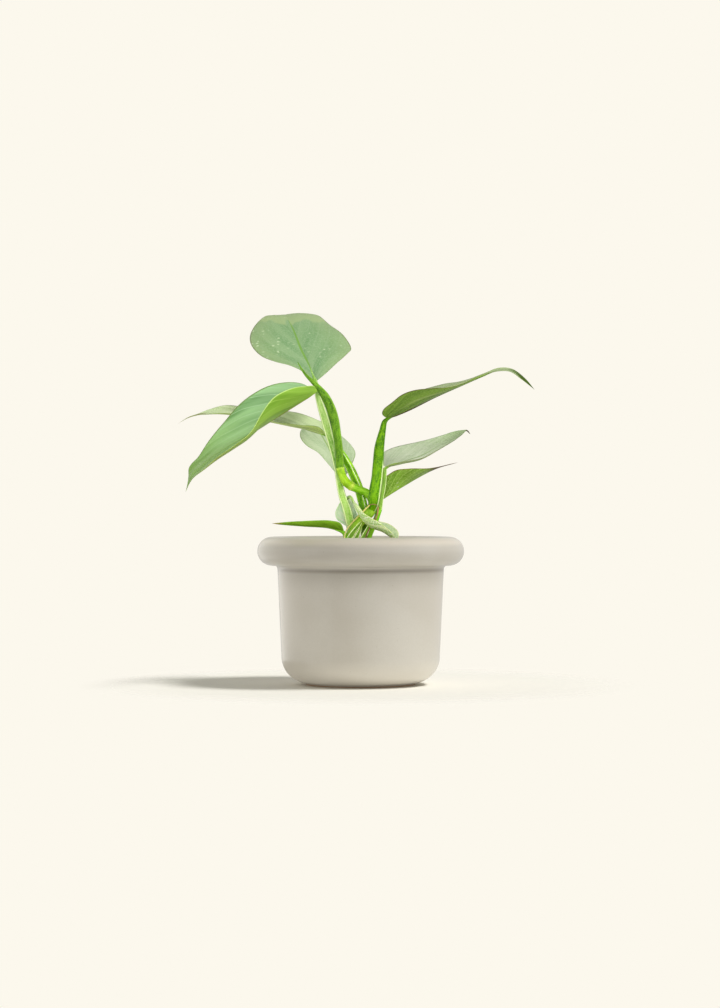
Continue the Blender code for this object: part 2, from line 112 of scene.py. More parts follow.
# %% Values that can be used in sums
class Value:
    """One output of a node, chosen by its name or number."""

    def __init__(self, tree, node, key=0):
        self.tree = tree
        self.node = node
        self.key = key

    def __getitem__(self, key):
        return Value(self.tree, self.node, key)

    def __add__(self, other):
        return calc("ADD", self, other)

    def __sub__(self, other):
        return calc("SUBTRACT", self, other)

    def __rsub__(self, other):
        return calc("SUBTRACT", other, self)

    def __mul__(self, other):
        return calc("MULTIPLY", self, other)

    def __truediv__(self, other):
        return calc("DIVIDE", self, other)

    def __pow__(self, other):
        return calc("POWER", self, other)

    def __lt__(self, other):
        return calc("LESS_THAN", self, other)

    def __gt__(self, other):
        return calc("GREATER_THAN", self, other)

    def __abs__(self):
        return calc("ABSOLUTE", self)


# %% Nodes and sums
def fill(tree, node, sockets):
    """Set or link a node's sockets by name or number."""
    for key, value in sockets.items():
        if isinstance(value, Value):
            tree.links.new(value.node.outputs[value.key], node.inputs[key])
        else:
            node.inputs[key].default_value = value


def put(tree, kind, sockets=None, **settings):
    """Add a node, set its properties, fill its sockets and give out its first output."""
    made = tree.nodes.new(kind)
    for key, value in settings.items():
        setattr(made, key, value)
    fill(tree, made, sockets or {})
    return Value(tree, made)


def tree_of(*values):
    return next(value.tree for value in values if isinstance(value, Value))


def calc(operation, *values, clamp=False):
    """The result of a Math node."""
    return put(tree_of(*values), "ShaderNodeMath", dict(enumerate(values)), operation=operation,
               use_clamp=clamp)


def vector(operation, *values):
    """The result of a Vector Math node."""
    sockets = dict(enumerate(values))
    if operation == "SCALE":
        sockets = {0: values[0], "Scale": values[1]}
    made = put(tree_of(*values), "ShaderNodeVectorMath", sockets, operation=operation)
    return made["Value"] if operation in ("DOT_PRODUCT", "LENGTH") else made


def combine(x, y, z):
    return put(tree_of(x, y, z), "ShaderNodeCombineXYZ", {0: x, 1: y, 2: z})


def split(value):
    return put(value.tree, "ShaderNodeSeparateXYZ", {0: value})


# %% Places, ramps, noises and groups
def on_object(tree):
    """The place on the object, in its own coordinates."""
    return put(tree, "ShaderNodeTexCoord")["Object"]


def ramp(value, low, high, start=0.0, end=1.0):
    """The value, eased from low..high to start..end."""
    sockets = {0: value, 1: low, 2: high, 3: start, 4: end}
    return put(value.tree, "ShaderNodeMapRange", sockets, interpolation_type="SMOOTHSTEP")


def noise(place, seed, scale, detail):
    """A noise with a fourth dimension for its seed."""
    sockets = {"Vector": place, "W": seed, "Scale": scale, "Detail": detail}
    return put(place.tree, "ShaderNodeTexNoise", sockets, noise_dimensions="4D")["Fac"]


SOCKET_TYPES = {float: "Float", int: "Int", tuple: "Vector"}


def new_group(kind, name, inputs, outputs):
    """A tree with named sockets, and its inputs. An input is given by its default or its type."""
    tree = bpy.data.node_groups.new(name, kind)
    for label, given in inputs.items():
        word = SOCKET_TYPES.get(type(given), given)
        made = tree.interface.new_socket(name=label, in_out="INPUT", socket_type="NodeSocket" + word)
        if word is not given:
            made.default_value = given
    for label, word in outputs.items():
        tree.interface.new_socket(name=label, in_out="OUTPUT", socket_type="NodeSocket" + word)
    return tree, put(tree, "NodeGroupInput")


def end_group(tree, results):
    put(tree, "NodeGroupOutput", results)
    print(tree.name, "nodes:", len(tree.nodes))


# %% [markdown]
# ## Colours
#
# Colours are easiest to judge as the 0 to 255 numbers of a picture, but shaders work in linear
# light. One function turns the first into the second. The colours in the lists below are picture
# numbers, and mix turns them.


# %% Colours as linear light
def paint(red, green, blue):
    """A colour for a shader from 0 to 255 picture values."""
    linear = []
    for value in (red / 255, green / 255, blue / 255):
        linear.append(value / 12.92 if value <= 0.04045 else ((value + 0.055) / 1.055) ** 2.4)
    return (*linear, 1.0)


def mix(share, first, second):
    """A mix of two colours, each a Value or three picture values."""
    ends = [end if isinstance(end, Value) else paint(*end) for end in (first, second)]
    return put(tree_of(share, *ends), "ShaderNodeMix", {0: share, 6: ends[0], 7: ends[1]},
               data_type="RGBA")[2]


BACKDROP = paint(252, 248, 237)
print("backdrop in linear light:", [round(value, 3) for value in BACKDROP])

# %% [markdown]
# ## The pale floor, the backdrop and the lights
#
# The plant stands on a warm white sweep that has no edge. The floor is a disc that fades to nothing
# away from the pot, so it melts into the backdrop, which is the world's own colour for the camera.
# All other rays see a dimmer world, which leaves room for a soft sun from the right. It draws the
# shadow on the left.
#
# As in a studio, each lamp has one job. Light linking names the pieces a lamp may reach: the sun
# lights the plant and the floor, the pot box gives the glaze its slow change from left to right
# without a hard shadow under the rim, and the plant box opens up the dark middle of the plant. The
# boxes leave the floor alone, so the shadow stays as deep as the sun makes it. The foot fill stands
# in for the light that white paper throws up under a pot. It shines from below, so the floor
# mustn't block it: only the pot is in its list of blockers.

# %% The world
HORIZON_LIGHT = 0.38
ZENITH_LIGHT = 0.30
BACK_LIGHT = 0.40

world = bpy.data.worlds.new("studio")
bpy.context.scene.world = world
world.use_nodes = True
air = world.node_tree
air.nodes.clear()
heading = split(put(air, "ShaderNodeTexCoord")["Generated"])
upward = ramp(heading["Z"], 0.0, 0.9, HORIZON_LIGHT, ZENITH_LIGHT)
behind = ramp(heading["Y"], 0.0, 1.0, 0.0, BACK_LIGHT)
seen = put(air, "ShaderNodeBackground", {"Color": BACKDROP, "Strength": 1.0})
felt = put(air, "ShaderNodeBackground", {"Color": paint(255, 254, 251), "Strength": upward + behind})
is_camera = put(air, "ShaderNodeLightPath")["Is Camera Ray"]
put(air, "ShaderNodeOutputWorld",
    {0: put(air, "ShaderNodeMixShader", {0: is_camera, 1: felt, 2: seen})})
bpy.context.scene.view_settings.view_transform = "Standard"
print("world light:", HORIZON_LIGHT, "at the horizon,", ZENITH_LIGHT, "overhead")


# %% The lights
KEY_TURN = 74.0
KEY_LIFT = 56.0
KEY_STRENGTH = 2.2
KEY_SOFTNESS = 16.0
BOXES = {
    "left_box": dict(place=(-0.99, 0.16, 0.22), energy=13.0, size=3.6, size_y=1.5,
                     color=(1.0, 0.97, 0.92)),
    "right_box": dict(place=(1.15, -0.75, 0.25), energy=10.5, size=1.5, size_y=1.2),
    "front_box": dict(place=(0.25, -1.2, 1.15), energy=4.5, size=1.2, size_y=0.8),
    "pot_box": dict(place=(1.25, -0.3, 0.75), energy=14.0, size=2.2, size_y=1.4),
    "plant_box": dict(place=(-0.15, -1.5, 0.20), energy=20.0, size=1.4, size_y=1.0),
    "foot_fill": dict(place=(-0.26, -0.12, -0.5), energy=1.1, size=0.5, size_y=0.5)}
RECEIVERS = {"key_light": "sunlit", "plant_box": "plant", "pot_box": "pot", "foot_fill": "pot"}
lit = {label: bpy.data.collections.new("lit_" + label)
       for label in ("every", "plant", "pot", "sunlit")}


def add_light(name, kind, place, energy, **settings):
    """A light at place that shines towards the foot of the pot. The camera can't see it, and only
    the left box gleams on the glaze."""
    light = bpy.data.lights.new(name, kind)
    light.energy = energy
    for key, value in settings.items():
        setattr(light, key, value)
    made = link_object(name, light)
    made.location = place
    made.rotation_euler = made.location.to_track_quat("Z", "Y").to_euler()
    made.visible_camera = False
    made.visible_glossy = name == "left_box"
    made.light_linking.receiver_collection = lit[RECEIVERS.get(name, "every")]
    return made


turn, lift = math.radians(KEY_TURN), math.radians(KEY_LIFT)
key_place = (math.cos(lift) * math.sin(turn), -math.cos(lift) * math.cos(turn), math.sin(lift))
add_light("key_light", "SUN", key_place, KEY_STRENGTH, angle=math.radians(KEY_SOFTNESS))
boxes = {name: add_light(name, "AREA", shape="RECTANGLE", **settings)
         for name, settings in BOXES.items()}
boxes["foot_fill"].light_linking.blocker_collection = lit["pot"]
print("key light from:", [round(value, 2) for value in key_place])

# %% The floor
FLOOR_RADIUS = 0.6
FLOOR_FADE = (0.13, 0.215)
FLOOR_STEPS = 96

floor_mesh = bpy.data.meshes.new("floor")
disc = bmesh.new()
bmesh.ops.create_circle(disc, cap_ends=True, segments=FLOOR_STEPS, radius=FLOOR_RADIUS)
disc.to_mesh(floor_mesh)
disc.free()
floor = link_object("floor", floor_mesh)
floor_finish = bpy.data.materials.new("pale_floor")
floor_finish.use_nodes = True
ground = floor_finish.node_tree
ground.nodes.clear()
away = vector("LENGTH", on_object(ground))
paper = put(ground, "ShaderNodeBsdfDiffuse", {"Color": paint(249, 246, 236)})
clear = put(ground, "ShaderNodeBsdfTransparent")
put(ground, "ShaderNodeOutputMaterial",
    {0: put(ground, "ShaderNodeMixShader", {0: ramp(away, *FLOOR_FADE), 1: paper, 2: clear})})
floor_mesh.materials.append(floor_finish)
lit["sunlit"].objects.link(floor)
print("floor radius:", FLOOR_RADIUS)

# %% [markdown]
# ## From a node tree to a plain mesh
#
# A piece that Geometry Nodes grows starts as a simple carrier: a curve, a profile or a patch. The
# tree's inputs are set by each socket's identifier, the result is read once, and the carrier goes.
# What stays is an ordinary mesh with its place in its points.


# %% Helpers for pieces
def grow(name, carrier, tree, values):
    """Run a geometry tree on the carrier and keep the result as a plain mesh object."""
    modifier = carrier.modifiers.new("Grow", "NODES")
    modifier.node_group = tree
    for item in tree.interface.items_tree:
        if item.in_out == "INPUT" and item.name in values:
            modifier[item.identifier] = values[item.name]
    bpy.context.view_layer.update()
    evaluated = carrier.evaluated_get(bpy.context.evaluated_depsgraph_get())
    mesh = bpy.data.meshes.new_from_object(evaluated)
    bpy.data.objects.remove(carrier, do_unlink=True)
    mesh.name = name
    return link_object(name, mesh)


def keep(piece, slot, *nodes):
    """Attach the piece to the root body, hide its solids and add it to the light lists for its slot.
    """
    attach(piece, "root")
    if nodes:
        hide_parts(*nodes)
    for label in ("every", "pot") if slot == "pot_glaze" else ("every", "plant", "sunlit"):
        lit[label].objects.link(piece)
    print(piece.name, "faces:", len(piece.data.polygons))


def store(source, label, value, kind="FLOAT"):
    return put(source.tree, "GeometryNodeStoreNamedAttribute",
               {"Geometry": source, "Name": label, "Value": value}, data_type=kind)


def read(tree, label, kind="FLOAT"):
    return put(tree, "GeometryNodeInputNamedAttribute", {"Name": label},
               data_type=kind)["Attribute"]


def end_tree(geometry, finish):
    """Realize what a geometry tree has made, give it its finish and put it out."""
    real = put(geometry.tree, "GeometryNodeRealizeInstances", {"Geometry": geometry})
    end_group(geometry.tree, {0: put(geometry.tree, "GeometryNodeSetMaterial",
                                     {"Geometry": real, "Material": finish})})


# %% A smooth path through a few points
SPAN_STEPS = 24


def smooth_path(points, count):
    """A Catmull-Rom curve through the points, as count + 1 points at equal steps."""
    knots = np.array(points, float)
    spans = np.linalg.norm(np.diff(knots[:, :3], axis=0), axis=1) ** 0.5
    times = np.concatenate(([0.0], np.cumsum(spans)))
    knots = np.vstack((2 * knots[0] - knots[1], knots, 2 * knots[-1] - knots[-2]))
    times = np.concatenate(([-spans[0]], times, [times[-1] + spans[-1]]))

    def blend(t, first, second, start, end):
        return ((end - t) * first + (t - start) * second) / (end - start)

    dense = []
    for k in range(1, len(knots) - 2):
        t0, t1, t2, t3 = times[k - 1:k + 3]
        p0, p1, p2, p3 = knots[k - 1:k + 3]
        for t in np.linspace(t1, t2, SPAN_STEPS, endpoint=False):
            a1, a2 = blend(t, p0, p1, t0, t1), blend(t, p1, p2, t1, t2)
            a3 = blend(t, p2, p3, t2, t3)
            dense.append(blend(t, blend(t, a1, a2, t0, t2), blend(t, a2, a3, t1, t3), t1, t2))
    dense = np.array(dense + [knots[-2]])
    steps = np.linalg.norm(np.diff(dense[:, :3], axis=0), axis=1)
    length = np.concatenate(([0.0], np.cumsum(steps)))
    wanted = np.linspace(0.0, length[-1], count + 1)
    return np.column_stack([np.interp(wanted, length, column) for column in dense.T])


print("piece helpers ready")

# %% [markdown]
# ## The pot
#
# The real pot is thrown or cast, so it is round: one profile turned about the upright axis. A
# geometry tree turns it. It sweeps the profile round a circle only to get the faces, then puts each
# point at its own radius and height, which keeps the poles exact. A slow noise moves the wall in and
# out by a tenth of a millimetre, because no glazed wall is perfectly even.

# %% The tree that turns a profile
turn_tree, given = new_group(
    "GeometryNodeTree", "turn_profile",
    {"Profile": "Geometry", "Steps": 192, "Unevenness": 0.0001, "Seed": 3.0, "Finish": "Material"},
    {"Mesh": "Geometry"})
place = put(turn_tree, "GeometryNodeInputPosition")
profile = put(turn_tree, "GeometryNodeMeshToCurve", {"Mesh": given["Profile"]})
circle = put(turn_tree, "GeometryNodeCurvePrimitiveCircle",
             {"Resolution": given["Steps"], "Radius": 1.0})
skin = put(turn_tree, "GeometryNodeCurveToMesh",
           {"Curve": store(circle, "spoke", place, "FLOAT_VECTOR"),
            "Profile Curve": store(profile, "cut", place, "FLOAT_VECTOR")})
cut = split(read(turn_tree, "cut", "FLOAT_VECTOR"))
spoke = split(read(turn_tree, "spoke", "FLOAT_VECTOR"))
wobble = noise(combine(spoke[0], spoke[1], cut[2] * 20.0), given["Seed"], 1.6, 1.0)
reach = cut[0] + (wobble - 0.5) * given["Unevenness"] * ramp(cut[0], 0.0, 0.04)
moved = put(turn_tree, "GeometryNodeSetPosition",
            {"Geometry": skin, "Position": combine(reach * spoke[0], reach * spoke[1], cut[2])})
welded = put(turn_tree, "GeometryNodeMergeByDistance", {"Geometry": moved, "Distance": 0.000002})
end_tree(put(turn_tree, "GeometryNodeSetShadeSmooth", {"Geometry": welded}), given["Finish"])

# %% [markdown]
# The pot's profile is worked out from the solid's own box and a few sizes: a fat round roll at the
# rim, a small fillet below it, a wall that narrows a little, a wide round corner and a short foot.
# The same arcs describe the solid, only with more points here.

# %% The pot's profile
RIM_RADIUS = 77.5
POT_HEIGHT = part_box("pot")[1].z / MM
ROLL = 10.7
BODY_TOP = 62.4
BODY_LOW = 59.4
CORNER = 20.0
FOOT = 41.0
FOOT_HEIGHT = 1.4
FOOT_FILLET = 0.5
FOOT_EDGE = 0.3
WALL = 5.0
RIM_FILLET = 3.0
INSIDE_TOP = (BODY_TOP - WALL - 0.6, 88.0)
LIP_START = 192
CORNER_END = -82
ROLL_CENTRE = (RIM_RADIUS - ROLL, POT_HEIGHT - ROLL)
CORNER_CENTRE = (BODY_LOW - CORNER, FOOT_HEIGHT + CORNER)


def arc(centre, radius, start, end, step=4.0):
    """Points on a circle in the plane of the profile, with an angle of about step between."""
    angles = np.radians(np.linspace(start, end, 2 + int(abs(end - start) / step)))
    return [(centre[0] + radius * math.cos(a), centre[1] + radius * math.sin(a)) for a in angles]


def straight(first, last, count):
    return [tuple(p) for p in np.linspace(first, last, count)]


def pot_profile():
    """The pot from the middle of its floor, up inside, over the rim and down to the foot."""
    inset = ROLL_CENTRE[0] - BODY_TOP - RIM_FILLET
    drop = math.sqrt((ROLL + RIM_FILLET) ** 2 - inset ** 2)
    lean = math.degrees(math.atan2(inset, drop))
    fillet_centre = (BODY_TOP + RIM_FILLET, ROLL_CENTRE[1] - drop)
    floor_height = FOOT_HEIGHT + WALL
    points = straight((0.0, floor_height), (CORNER_CENTRE[0], floor_height), 8)
    points += arc(CORNER_CENTRE, CORNER - WALL, -90, 0)[1:]
    points += straight((BODY_LOW - WALL, CORNER_CENTRE[1]), INSIDE_TOP, 16)[1:]
    points += arc(ROLL_CENTRE, ROLL, LIP_START, -90 - lean)
    points += arc(fillet_centre, RIM_FILLET, 90 - lean, 180)[1:]
    points += straight((BODY_TOP, fillet_centre[1]), (BODY_LOW, CORNER_CENTRE[1]), 30)[1:]
    points += arc(CORNER_CENTRE, CORNER, 0, CORNER_END)[1:]
    points += arc((FOOT + FOOT_FILLET, FOOT_EDGE + FOOT_FILLET), FOOT_FILLET, 100, 180, 12.0)
    points += [(FOOT, FOOT_EDGE), (FOOT - 0.2, 0.15), (FOOT - FOOT_EDGE, 0.0)]
    return points + straight((FOOT - FOOT_EDGE, 0.0), (0.0, 0.0), 8)[1:]


profile_points = pot_profile()
print("profile points:", len(profile_points), "rim roll centre:", ROLL_CENTRE)

# %% [markdown]
# ## Surface effects that several finishes share
#
# Two effects turn up on glaze, leaves and stalks alike. Patches are slow changes of tone, and
# speckles are small scattered dots. Each is a shader group that gives out a value, so that every
# material can place it with its own scale and strength.

# %% The patches group and the speckles group
patches, given = new_group(
    "ShaderNodeTree", "patches",
    {"Vector": "Vector", "Scale": 20.0, "Detail": 3.0, "Low": 0.35, "High": 0.65},
    {"Value": "Float"})
cloud = put(patches, "ShaderNodeTexNoise", {label: given[label] for label in
                                            ("Vector", "Scale", "Detail")})["Fac"]
end_group(patches, {"Value": ramp(cloud, given["Low"], given["High"])})
speckles, given = new_group(
    "ShaderNodeTree", "speckles",
    {"Vector": "Vector", "Scale": 400.0, "Size": 0.25, "Share": 0.2}, {"Mask": "Float"})
cells = put(speckles, "ShaderNodeTexVoronoi", {"Vector": given["Vector"], "Scale": given["Scale"]})
near = ramp(cells["Distance"], given["Size"], given["Size"] * 0.5)
lucky = put(speckles, "ShaderNodeSeparateColor", {0: cells["Color"]})
end_group(speckles, {"Mask": near * (lucky < given["Share"])})


# %% Helpers for materials
def new_finish(name):
    """A material, its tree and its Principled shader."""
    made = bpy.data.materials.new(name)
    made.use_nodes = True
    return made, made.node_tree, made.node_tree.nodes["Principled BSDF"]


def add_patches(spot, scale, **sockets):
    return put(spot.tree, "ShaderNodeGroup",
               {"Vector": spot, "Scale": scale, **{key.capitalize(): value
                                                   for key, value in sockets.items()}},
               node_tree=patches)


def add_speckles(spot, scale, size, share):
    return put(spot.tree, "ShaderNodeGroup",
               {"Vector": spot, "Scale": scale, "Size": size, "Share": share}, node_tree=speckles)


def attribute(tree, label, output="Fac"):
    return put(tree, "ShaderNodeAttribute", attribute_name=label)[output]


def relief(height, strength, distance):
    return put(height.tree, "ShaderNodeBump",
               {"Strength": strength, "Distance": distance, "Height": height})


# %% [markdown]
# ## The glaze
#
# A satin, warm grey glaze that carries a few pin-size darker specks. Light and shade are painted
# into its colour: a painted highlight on the lip, painted floor light low on the wall, painted shade
# on the lower half of the roll, in the crease under the roll and on the wall below it, and a painted
# contact shadow in a line above the foot. The bare clay shows only on the last millimetre of the
# foot. The gloss is a thin coat over a rougher body, which gives the soft upright gleam without a
# hard mirror.

# %% The glaze material
# Painted shade: the height of the crease under the roll, and of the shaded band on the roll's lower
# half.
SHADED_CREASE_HEIGHT = 0.0865
ROLL_SHADE_HEIGHT = 0.0965
# Light and shade painted on the glaze: painted floor light low on the wall, a painted contact shadow
# above the foot and a painted highlight on the lip. Each zone has the heights between which it comes
# in, its strength and its colour.
PAINTED_LIGHT_ZONES = {"painted floor light above the foot": (0.024, 0.006, 0.3, (214, 208, 196)),
               "painted contact shadow at the foot": (0.0036, 0.0015, 0.45, (96, 87, 74)),
               "painted highlight on the lip": (0.103, 0.108, 0.4, (238, 226, 205))}

glaze, glaze_tree, glaze_shader = new_finish("pot_glaze")
spot = on_object(glaze_tree)
cloud = add_patches(spot, 22.0, detail=4.0)
grain = add_patches(spot, 900.0, detail=2.0)
pins = add_speckles(spot, 260.0, 0.16, 0.12)
tone = mix(cloud, (181, 175, 162), (186, 181, 169))
tone = mix(grain * 0.12, tone, (166, 159, 145))
tone = mix(pins * 0.25, tone, (138, 128, 111))
up = split(spot)["Z"]
# Painted shade: darker in the crease under the roll.
crease_shade = ramp(abs(up - SHADED_CREASE_HEIGHT), 0.0028, 0.0)
tone = mix(crease_shade * 0.5, tone, (96, 87, 74))
for low, high, share, colour in PAINTED_LIGHT_ZONES.values():
    tone = mix(ramp(up, low, high, 0.0, share), tone, colour)
# Painted shade on the lower half of the roll.
tone = mix(ramp(abs(up - ROLL_SHADE_HEIGHT), 0.0065, 0.002, 0.0, 0.22), tone, (146, 140, 127))
# Painted shade on the wall just below the rim, fading out downwards.
under = (up < SHADED_CREASE_HEIGHT) * ramp(up, 0.068, SHADED_CREASE_HEIGHT, 0.0, 0.3)
tone = mix(under, tone, (132, 124, 110))
bare = ramp(up, 0.0013, 0.0010)
fill(glaze_tree, glaze_shader,
     {"Base Color": mix(bare, tone, (138, 118, 96)), "Roughness": ramp(cloud, 0.0, 1.0, 0.42, 0.5),
      "Coat Weight": (1.0 - bare) * 0.45, "Coat Roughness": 0.12,
      "Normal": relief(cloud + grain, 0.05, 0.0003)})
print("glaze nodes:", len(glaze_tree.nodes))

# %% Turn the pot
pot_edge = bpy.data.meshes.new("pot_profile")
pot_edge.from_pydata([(r * MM, 0.0, z * MM) for r, z in profile_points],
                     [(k, k + 1) for k in range(len(profile_points) - 1)], [])
pot = grow("glazed_pot", link_object("pot_profile", pot_edge), turn_tree,
           {"Steps": 192, "Unevenness": 0.0002, "Finish": glaze})
keep(pot, "pot_glaze", "pot")

# %% [markdown]
# ## Stalks
#
# Stems, petioles and roots all follow a path with a changing thickness, so one tree grows them. It
# sweeps a circle along the curve, then moves each point in or out: a channel with a thin wing on
# each side, as a philodendron's petiole has on its upper side, fine ribs, and a little lumpiness.
# The Facing input says which way the channel looks, whatever way the curve turns. The tree stores
# where each point lies along and around the stalk, so the finish can follow the fibres.

# %% The tree that sweeps a stalk
WING_PLACE = 1.9
WING_SHARPNESS = 1.8

stalk_tree, given = new_group(
    "GeometryNodeTree", "sweep_stalk",
    {"Curve": "Geometry", "Sides": 36, "Spacing": 0.0006, "Facing": (0.0, -1.0, 0.0),
     "Channel depth": 0.0, "Channel width": 0.09, "Wing height": 0.0, "Ribs": 11,
     "Rib depth": 0.015, "Lump height": 0.00008, "Lump scale": 260.0, "Seed": 0.0,
     "Finish": "Material"},
    {"Mesh": "Geometry"})
rail = put(stalk_tree, "GeometryNodeResampleCurve",
           {"Curve": given["Curve"], "Length": given["Spacing"]}, mode="LENGTH")
measure = put(stalk_tree, "GeometryNodeSplineParameter")
girth = put(stalk_tree, "GeometryNodeInputRadius")
place = put(stalk_tree, "GeometryNodeInputPosition")
rail = store(rail, "along", measure["Factor"])
rail = store(rail, "reach", measure["Length"])
rail = store(rail, "girth", girth)
rail = store(rail, "heading", put(stalk_tree, "GeometryNodeInputTangent"), "FLOAT_VECTOR")
ring = put(stalk_tree, "GeometryNodeCurvePrimitiveCircle",
           {"Resolution": given["Sides"], "Radius": 1.0})
ring = store(ring, "ring", place, "FLOAT_VECTOR")
ring = store(ring, "around", measure["Factor"])
bark = put(stalk_tree, "GeometryNodeCurveToMesh",
           {"Curve": rail, "Profile Curve": ring, "Scale": girth, "Fill Caps": True})
print("stalk rail and ring ready")

# %% Channel, wings, ribs and lumps
outward = put(stalk_tree, "GeometryNodeInputNormal")
heading = read(stalk_tree, "heading", "FLOAT_VECTOR")
ahead = vector("DOT_PRODUCT", given["Facing"], heading)
level = vector("NORMALIZE", vector("SUBTRACT", given["Facing"], vector("SCALE", heading, ahead)))
aside = calc("ARCCOSINE", vector("DOT_PRODUCT", outward, level)) / (2.0 * math.pi)
spread = aside / given["Channel width"]
off_crest = (spread - WING_PLACE) * WING_SHARPNESS
marked = store(bark, "wing", calc("EXPONENT", off_crest * off_crest * -1.0))
marked = store(marked, "hollow", calc("EXPONENT", spread * spread * -1.0))
waves = calc("COSINE", read(stalk_tree, "around") * (given["Ribs"] * (2.0 * math.pi)))
rise = (read(stalk_tree, "wing") * given["Wing height"]
        - read(stalk_tree, "hollow") * given["Channel depth"] + waves * given["Rib depth"])
lump = (noise(place, given["Seed"], given["Lump scale"], 2.0) - 0.5) * given["Lump height"]
shift = rise * read(stalk_tree, "girth") + lump
shaped = put(stalk_tree, "GeometryNodeSetPosition",
             {"Geometry": marked, "Offset": vector("SCALE", outward, shift)})
end_tree(put(stalk_tree, "GeometryNodeSetShadeSmooth", {"Geometry": shaped}), given["Finish"])

# %% [markdown]
# ## What a stalk is coloured with
#
# Living stalks have long fibres that catch the light as fine lighter and darker streaks, slow
# patches of tone, tiny pale dots, and colours that change from the base to the tip. The streaks come
# from a noise that is stretched along the stalk: its input is the place around the ring, which has
# no seam, and the distance along it.

# %% The fibres group
fibres, given = new_group(
    "ShaderNodeTree", "stalk_fibres", {"Fineness": 2.7, "Stretch": 130.0, "Seed": 0.0},
    {"Streak": "Float", "Patch": "Float", "Dots": "Float"})
around = split(attribute(fibres, "ring", "Vector"))
walked = attribute(fibres, "reach")


def fibre_place(fineness, stretch):
    """The place round the ring and along the stalk, at its own scale each way."""
    return combine(around[0] * fineness, around[1] * fineness, walked * stretch)


dots = put(fibres, "ShaderNodeTexVoronoi", {"Vector": fibre_place(3.2, 900.0), "Scale": 1.0})
strand = noise(fibre_place(given["Fineness"], given["Stretch"]), given["Seed"], 1.0, 3.0)
slow = noise(fibre_place(1.0, 160.0), given["Seed"], 1.0, 2.0)
end_group(fibres, {"Streak": ramp(strand, 0.36, 0.64), "Patch": ramp(slow, 0.35, 0.68),
                   "Dots": ramp(dots["Distance"], 0.5, 0.2)})


# %% A stalk's material
def stalk_finish(name, stops, light, deep, wing_colour, seed, streak=0.35, wing_share=0.0,
                 speckle=0.15, roughness=0.42, hollow_share=0.0, wing_end=0.92, wing_from=0.35):
    """Colours run along the stalk through stops, with lighter and deeper fibres over them.

    wing_share and hollow_share say how strongly the wings are paler and the channel is deeper.
    wing_end is the share of the length where the wings have faded into the stalk, and a higher
    wing_from makes their pale line thinner."""
    made, tree, shader = new_finish(name)
    along = attribute(tree, "along")
    bands = put(tree, "ShaderNodeValToRGB", {"Fac": along})
    elements = bands.node.color_ramp.elements
    first, *middle, last = stops.items()
    for element, (place, colour) in zip(elements, (first, last)):
        element.position = place
        element.color = paint(*colour)
    for place, colour in middle:
        elements.new(place).color = paint(*colour)
    strands = put(tree, "ShaderNodeGroup", {"Seed": seed}, node_tree=fibres)
    tone = mix(strands["Streak"] * streak, bands["Color"], light)
    tone = mix(strands["Patch"] * streak, tone, deep)
    tone = mix(strands["Dots"] * speckle, tone, light)
    tone = mix(ramp(attribute(tree, "hollow"), 0.1, 0.5, 0.0, hollow_share), tone, deep)
    edge = ramp(attribute(tree, "wing"), wing_from, 0.62 + 0.5 * wing_from, 0.0, wing_share)
    tone = mix(edge * ramp(along, wing_end, wing_end - 0.08), tone, wing_colour)
    fill(tree, shader,
         {"Base Color": tone, "Specular IOR Level": 0.2,
          "Roughness": ramp(strands["Streak"], 0.0, 1.0, roughness, roughness + 0.12),
          "Normal": relief(strands["Streak"], 0.3, 0.0001)})
    return made


# %% One call for a whole stalk
def stalk_curve(name, route, ridges):
    """A poly curve in metres with a radius at each point, from (x, y, z, radius) in mm."""
    length = np.linalg.norm(np.diff(np.array(route)[:, :3], axis=0), axis=1).sum()
    points = smooth_path(route, max(8, 2 * int(length)))
    walked = np.linspace(0.0, length, len(points))
    for share, height, width in ridges:
        points[:, 3] += height * np.exp(-((walked - share * length) / width) ** 2)
    curve = bpy.data.curves.new(name, "CURVE")
    curve.dimensions = "3D"
    spline = curve.splines.new("POLY")
    spline.points.add(len(points) - 1)
    for point, (x, y, z, radius) in zip(spline.points, points):
        point.co = (x * MM, y * MM, z * MM, 1.0)
        point.radius = radius * MM
    return link_object(name + "_path", curve)


def stalk(name, node, slot, route, finish, ridges=(), **sizes):
    """Grow one stalk, over its solid if it has one.

    A ridge is its share of the length, and its height and width in mm."""
    values = {label.replace("_", " ").capitalize(): value for label, value in sizes.items()}
    values["Finish"] = finish
    piece = grow(name, stalk_curve(name, route, ridges), stalk_tree, values)
    keep(piece, slot, *([node] if node else []))


# %% [markdown]
# ## Leaf blades
#
# A blade is a thin sheet folded along its midrib. It is described by three lines in space: the
# midrib and the two margins. The sheet is lofted between them, so both halves can rise, hang or roll
# as they do on the plant. A few extra moves make it a leaf: it dishes a little between midrib and
# margin, its margin waves, it sinks along the side veins, and the midrib stands out below.
#
# Each blade is one closed skin: an upper face, a lower face and a margin where the two meet.

# %% From three lines to a sheet
BLADE_ROWS = 110
BLADE_HALF = 26
BLADE_THICKNESS = 0.42
MIDRIB_STEPS = 400
WAVE_PITCHES = (2.0, 3.0, 5.0)
VEIN_SINK = 0.10
VEIN_WIDTH = 14.0
RIB_SIZE = 0.7
RIB_TAPER = 0.85
RIB_ABOVE = 0.25
RIB_BELOW = 0.8
END_TAPER = 12.0


